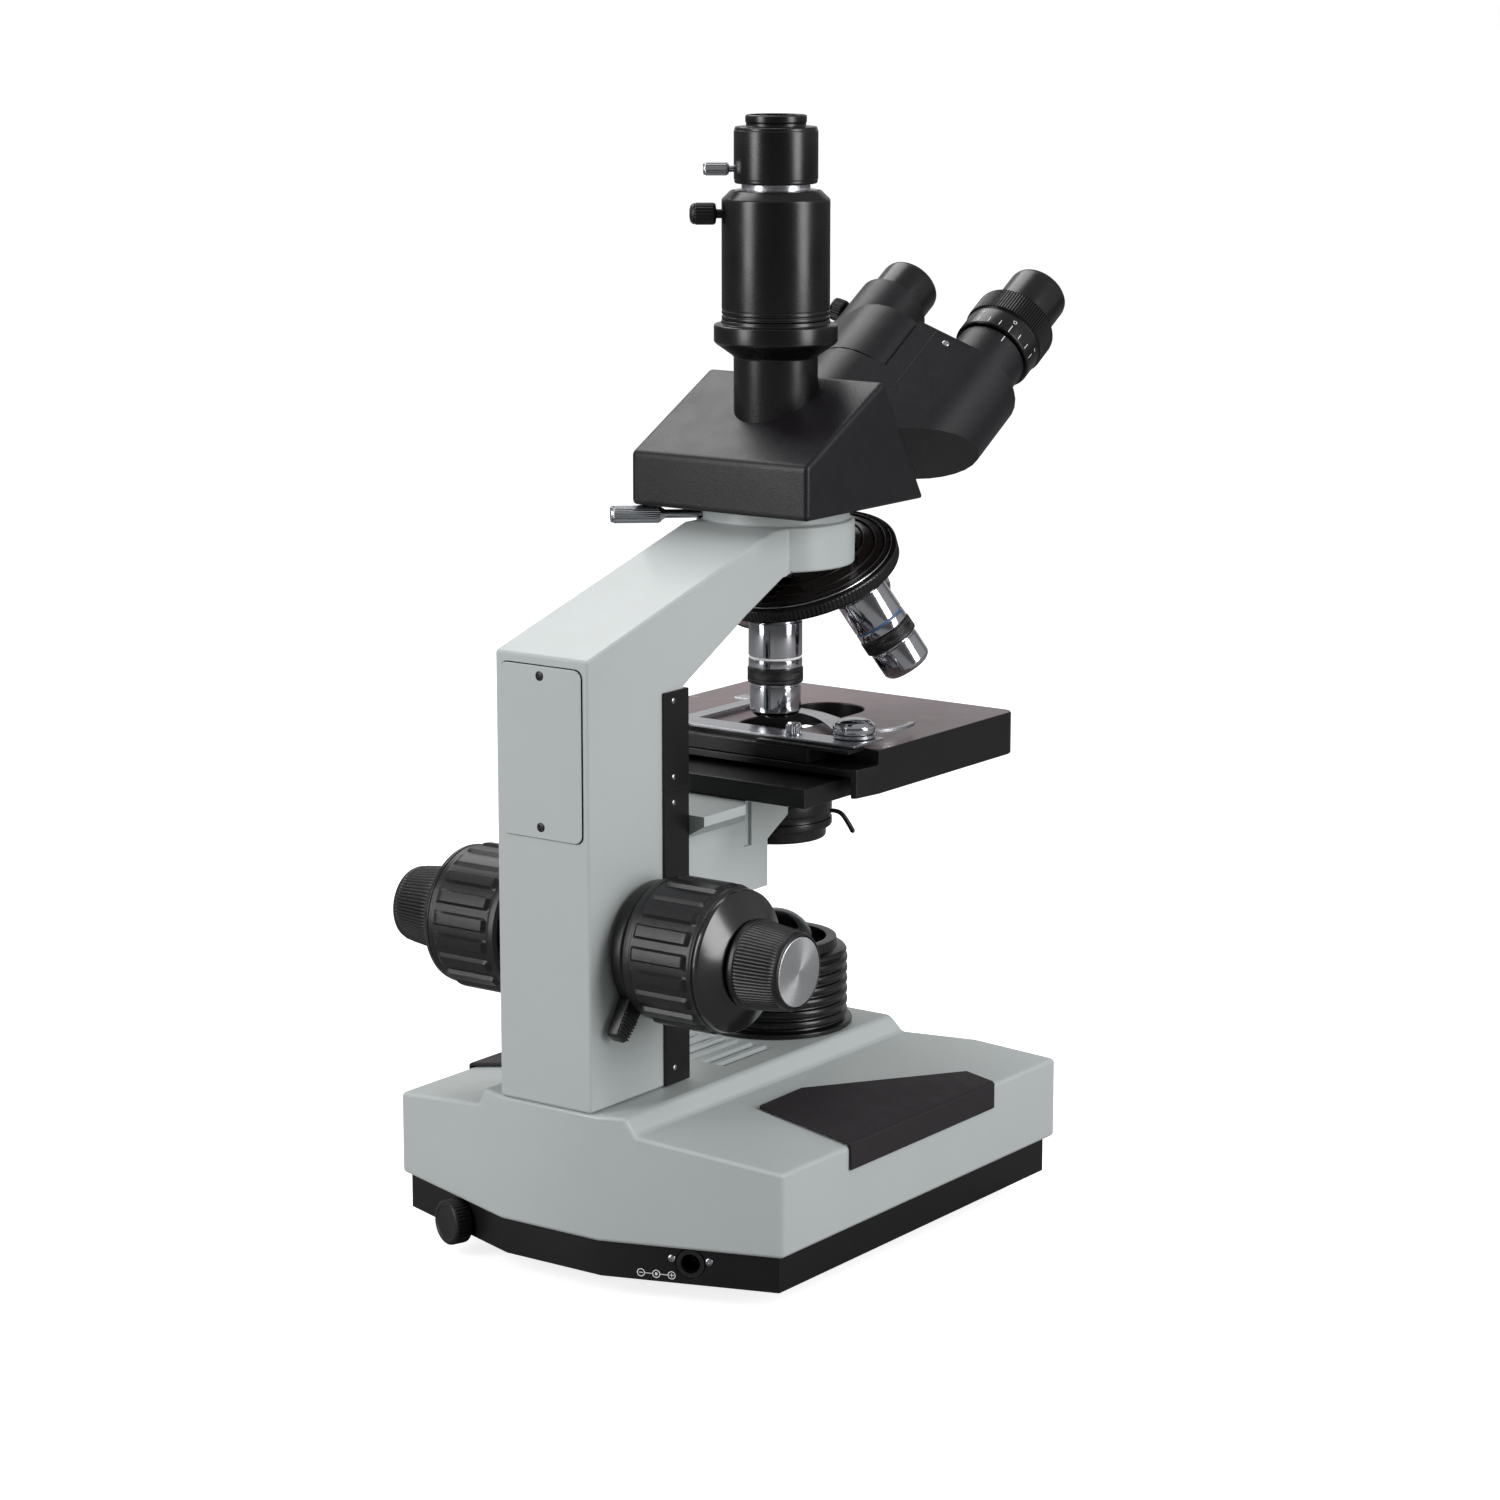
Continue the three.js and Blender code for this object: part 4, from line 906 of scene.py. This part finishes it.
own(turn("port_base", [(11.5, 318), (16.7, 318), (16.7, 343.4), (17.4, 344.2), (23.6, 348.6), (24.5, 349.6),
                       (24.5, 356.0), (24.0, 356.4), (21.6, 356.6), (21.5, 358.2), (11.5, 358.2)], TUBE,
         axes((0, 0, 0), UP), segments=128, soft=0.4, closed=True), "head", "black_paint", "trinocular_tube")
own(turn("port_cylinder", [(17.2, 358.5), (21.4, 358.5), (21.4, 359.6), (21.05, 359.9), (21.05, 360.3),
                           (21.4, 360.6), (21.4, 361.7), (21.2, 361.9), (21.2, 362.2), (21.4, 362.4),
                           (21.4, 404.9), (21.2, 405.5), (17.8, 408.7), (17.2, 408.7)], TUBE,
         axes((0, 0, 0), UP), segments=128, soft=0.3, closed=True), "head", "black_paint", "camera_tube")
own(turn("port_adapter", [(10.6, 366), (16.8, 366), (16.8, 408.9), (13.6, 409.0), (13.5, 411.2),
                          (15.9, 411.4), (16.4, 411.9), (16.4, 413.0), (16.6, 413.2), (16.6, 431.9),
                          (16.3, 432.2), (16.3, 432.8), (16.0, 433.4), (12.0, 433.6), (11.8, 434.0),
                          (11.8, 434.9), (12.1, 435.3), (12.1, 437.6), (11.7, 438), (10.9, 438),
                          (10.6, 437.6)], TUBE, axes((0, 0, 0), UP), segments=128, soft=0.25,
         bands=((408.95, 411.3, SATIN),), closed=True), "adapter", "black_paint", "camera_adapter")
side_dir = Vector((math.sin(PORT_SCREWS_AT), math.cos(PORT_SCREWS_AT), 0))
own(turn("lock_knob", [(0, 17.1), (1.8, 17.1), (1.8, 23.4), (3.6, 23.6)]
         + [(4.35, z) for z in fine(24.2, 31.6, 0.6)] + [(4.1, 32.6), (3.2, 33.6), (1.6, 34), (0, 34)], KNOB,
         axes((0, 0, 399.5), side_dir), segments=160, relief=outside(4.2, ribs(20, 0.45, 24.0, 32.0)),
         soft=0.3), "tube_screw", "black_plastic", "tube_lock_screw")
own(turn("adapter_screw", [(0, 12), (1.3, 12), (1.3, 18.4), (2.3, 18.7)]
         + [(2.65, z) for z in fine(19.2, 27.6, 0.6)] + [(2.4, 28.2), (1.9, 28.6), (0, 28.6)], CHROME,
         axes((0, 0, 417), side_dir), segments=120, relief=outside(2.5, ribs(18, 0.3, 19.0, 27.9)), soft=0.2),
    "adapter_screw", "chrome", "adapter_thumbscrew")

# ---- binocular wings ----

HINGE = Vector((0, -189 * math.cos(INCLINE) + 245 * math.sin(INCLINE), 189 * math.sin(INCLINE)
                + 245 * math.cos(INCLINE)))
ACROSS = Vector((0, math.sin(INCLINE), math.cos(INCLINE)))
DROP = TUBE_OFFSET * math.tan(WING_SLOPE)
keep("prism_box_left", HEAD, 0.9, 3)
keep("prism_box_right", HEAD, 0.9, 3)
own(turn("hinge_disc", [(0, -6), (5.9, -6), (5.9, 61.8), (14.8, 61.8), (15, 62.2), (15, 64.2), (14.2, 64.9),
                        (13.4, 64.9), (13.0, 64.5), (0, 64.5)], HEAD, axes(HINGE, TUBE_AXIS), soft=0.25),
    "head", "black_paint", "hinge_axle")

right_tube = HINGE + Vector((TUBE_OFFSET, 0, 0)) - ACROSS * DROP
knob_way = Vector((math.cos(math.radians(20)), 0, 0)) + ACROSS * math.sin(math.radians(20))
own(turn("tube_side_knob", [(0, 15.2), (2.2, 15.2), (2.2, 16.4), (4.4, 16.6)]
         + [(4.9, z) for z in fine(17.2, 21.4, 0.5)] + [(4.5, 22.2), (3.6, 22.6), (0, 22.4)], KNOB,
         axes(right_tube + TUBE_AXIS * 96, knob_way, TUBE_AXIS), segments=160,
         relief=outside(4.8, ribs(24, 0.45, 17.0, 21.6)), soft=0.25), "right_wing", "black_plastic")

WING_UP = Vector((-math.sin(WING_SLOPE), 0, 0)) + ACROSS * math.cos(WING_SLOPE)
WING_OUT = Vector((-math.cos(WING_SLOPE), 0, 0)) - ACROSS * math.sin(WING_SLOPE)


def on_wing(out, along, lift=0.0):
    """A point of the left prism box's upper side."""
    return HINGE + WING_OUT * out + WING_UP * (21.5 + lift) + TUBE_AXIS * along


seam_frame = axes((0, 0, 0), UP)
own(sweep("wing_seam", [on_wing(18.2, w, -0.06) for w in (24, 36, 48, 61.2)], 0.17, DARK, seam_frame,
          sides=8), "left_wing", "black_paint")
own(sweep("wing_front_seam", [on_wing(t, 60.4, -0.06) for t in (18.6, 24, 30, 36)], 0.17, DARK, seam_frame,
          sides=8), "left_wing", "black_paint")
screw("wing_screw", on_wing(24.5, 56.5, 0.1), WING_UP, 1.5, "left_wing", SATIN, 0.35, hint=TUBE_AXIS)

for side, s in (("left", -1), ("right", 1)):
    foot_point = HINGE + Vector((s * TUBE_OFFSET, 0, 0)) - ACROSS * DROP
    start = 104.7 if s < 0 else 108.3
    tube_frame = axes(foot_point, TUBE_AXIS)
    profile = [(8.6, 84), (11.7, 84), (11.7, start), (12.5, start), (12.9, start + 0.5), (12.9, 122.8),
               (12.6, 124.2), (12.0, 124.9), (10.6, 125.0), (9.4, 124.2), (8.6, 122)]
    own(turn(f"eyepiece_barrel_{side}", profile, TUBE, tube_frame, segments=128, soft=0.3, closed=True),
        f"{side}_eyepiece", "black_paint", f"eyepiece_{side}")
    glass = [(0, 116.6), (8.5, 116.6), (8.5, 118.6), (6.4, 119.9), (3.4, 120.8), (0, 121.1)]
    own(turn(f"eye_lens_{side}", glass, LENS, tube_frame, segments=72, soft=0.2), f"{side}_eyepiece", "glass")

ring_frame = axes(HINGE - Vector((TUBE_OFFSET, 0, 0)) - ACROSS * DROP, TUBE_AXIS)
ring = [(13.3, 81.6), (16.2, 81.6), (16.8, 82.2), (16.8, 91.2), (16.5, 91.6), (16.9, 92.0)]
ring += [(17.6, z) for z in fine(92.4, 103.0, 0.5)] + [(17.0, 103.6), (16.4, 104.1), (13.3, 104.1)]
own(turn("dioptre_grip", ring, TUBE, ring_frame, segments=384,
         relief=outside(17.5, ribs(96, 0.5, 92.2, 103.2)), soft=0.2, closed=True),
    "dioptre", "black_plastic", "dioptre_ring")


def round_mark(name, tilt, along, radius, length, width, body):
    """A short white line along the tube, on a round surface."""
    out = ACROSS * math.cos(math.radians(tilt)) - Vector((1, 0, 0)) * math.sin(math.radians(tilt))
    at = HINGE - Vector((TUBE_OFFSET, 0, 0)) - ACROSS * DROP + out * radius + TUBE_AXIS * along
    return printed(name, axes(at, out, TUBE_AXIS), rect(-length / 2, length / 2, -width / 2, width / 2), body,
                   0.06)


for i in range(-3, 4):
    round_mark(f"dioptre_mark_{i + 3}", 44 + 17 * i, 84.4, 16.78, 4.0 if i == 0 else 2.8, 0.34, "dioptre")
round_mark("dioptre_index", 44, 79.2, 15.18, 3.2, 0.4, "left_wing")
round_mark("dioptre_minus", 44 + 51, 88.6, 16.78, 0.34, 1.5, "dioptre")
round_mark("dioptre_plus", 44 - 51, 88.6, 16.78, 0.34, 1.5, "dioptre")
round_mark("dioptre_plus_upright", 44 - 51, 88.6, 16.79, 1.5, 0.34, "dioptre")
zero_out = ACROSS * math.cos(math.radians(44)) - Vector((1, 0, 0)) * math.sin(math.radians(44))
zero_at = HINGE - Vector((TUBE_OFFSET, 0, 0)) - ACROSS * DROP + zero_out * 16.8 + TUBE_AXIS * 88.6
own(turn("dioptre_zero", [(0.55, -0.04), (0.85, -0.04), (0.85, 0.06), (0.55, 0.06)], WHITE,
         axes(zero_at, zero_out, TUBE_AXIS), segments=32, soft=0, closed=True), "dioptre", None)

# ---- finish ----

lo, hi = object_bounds()
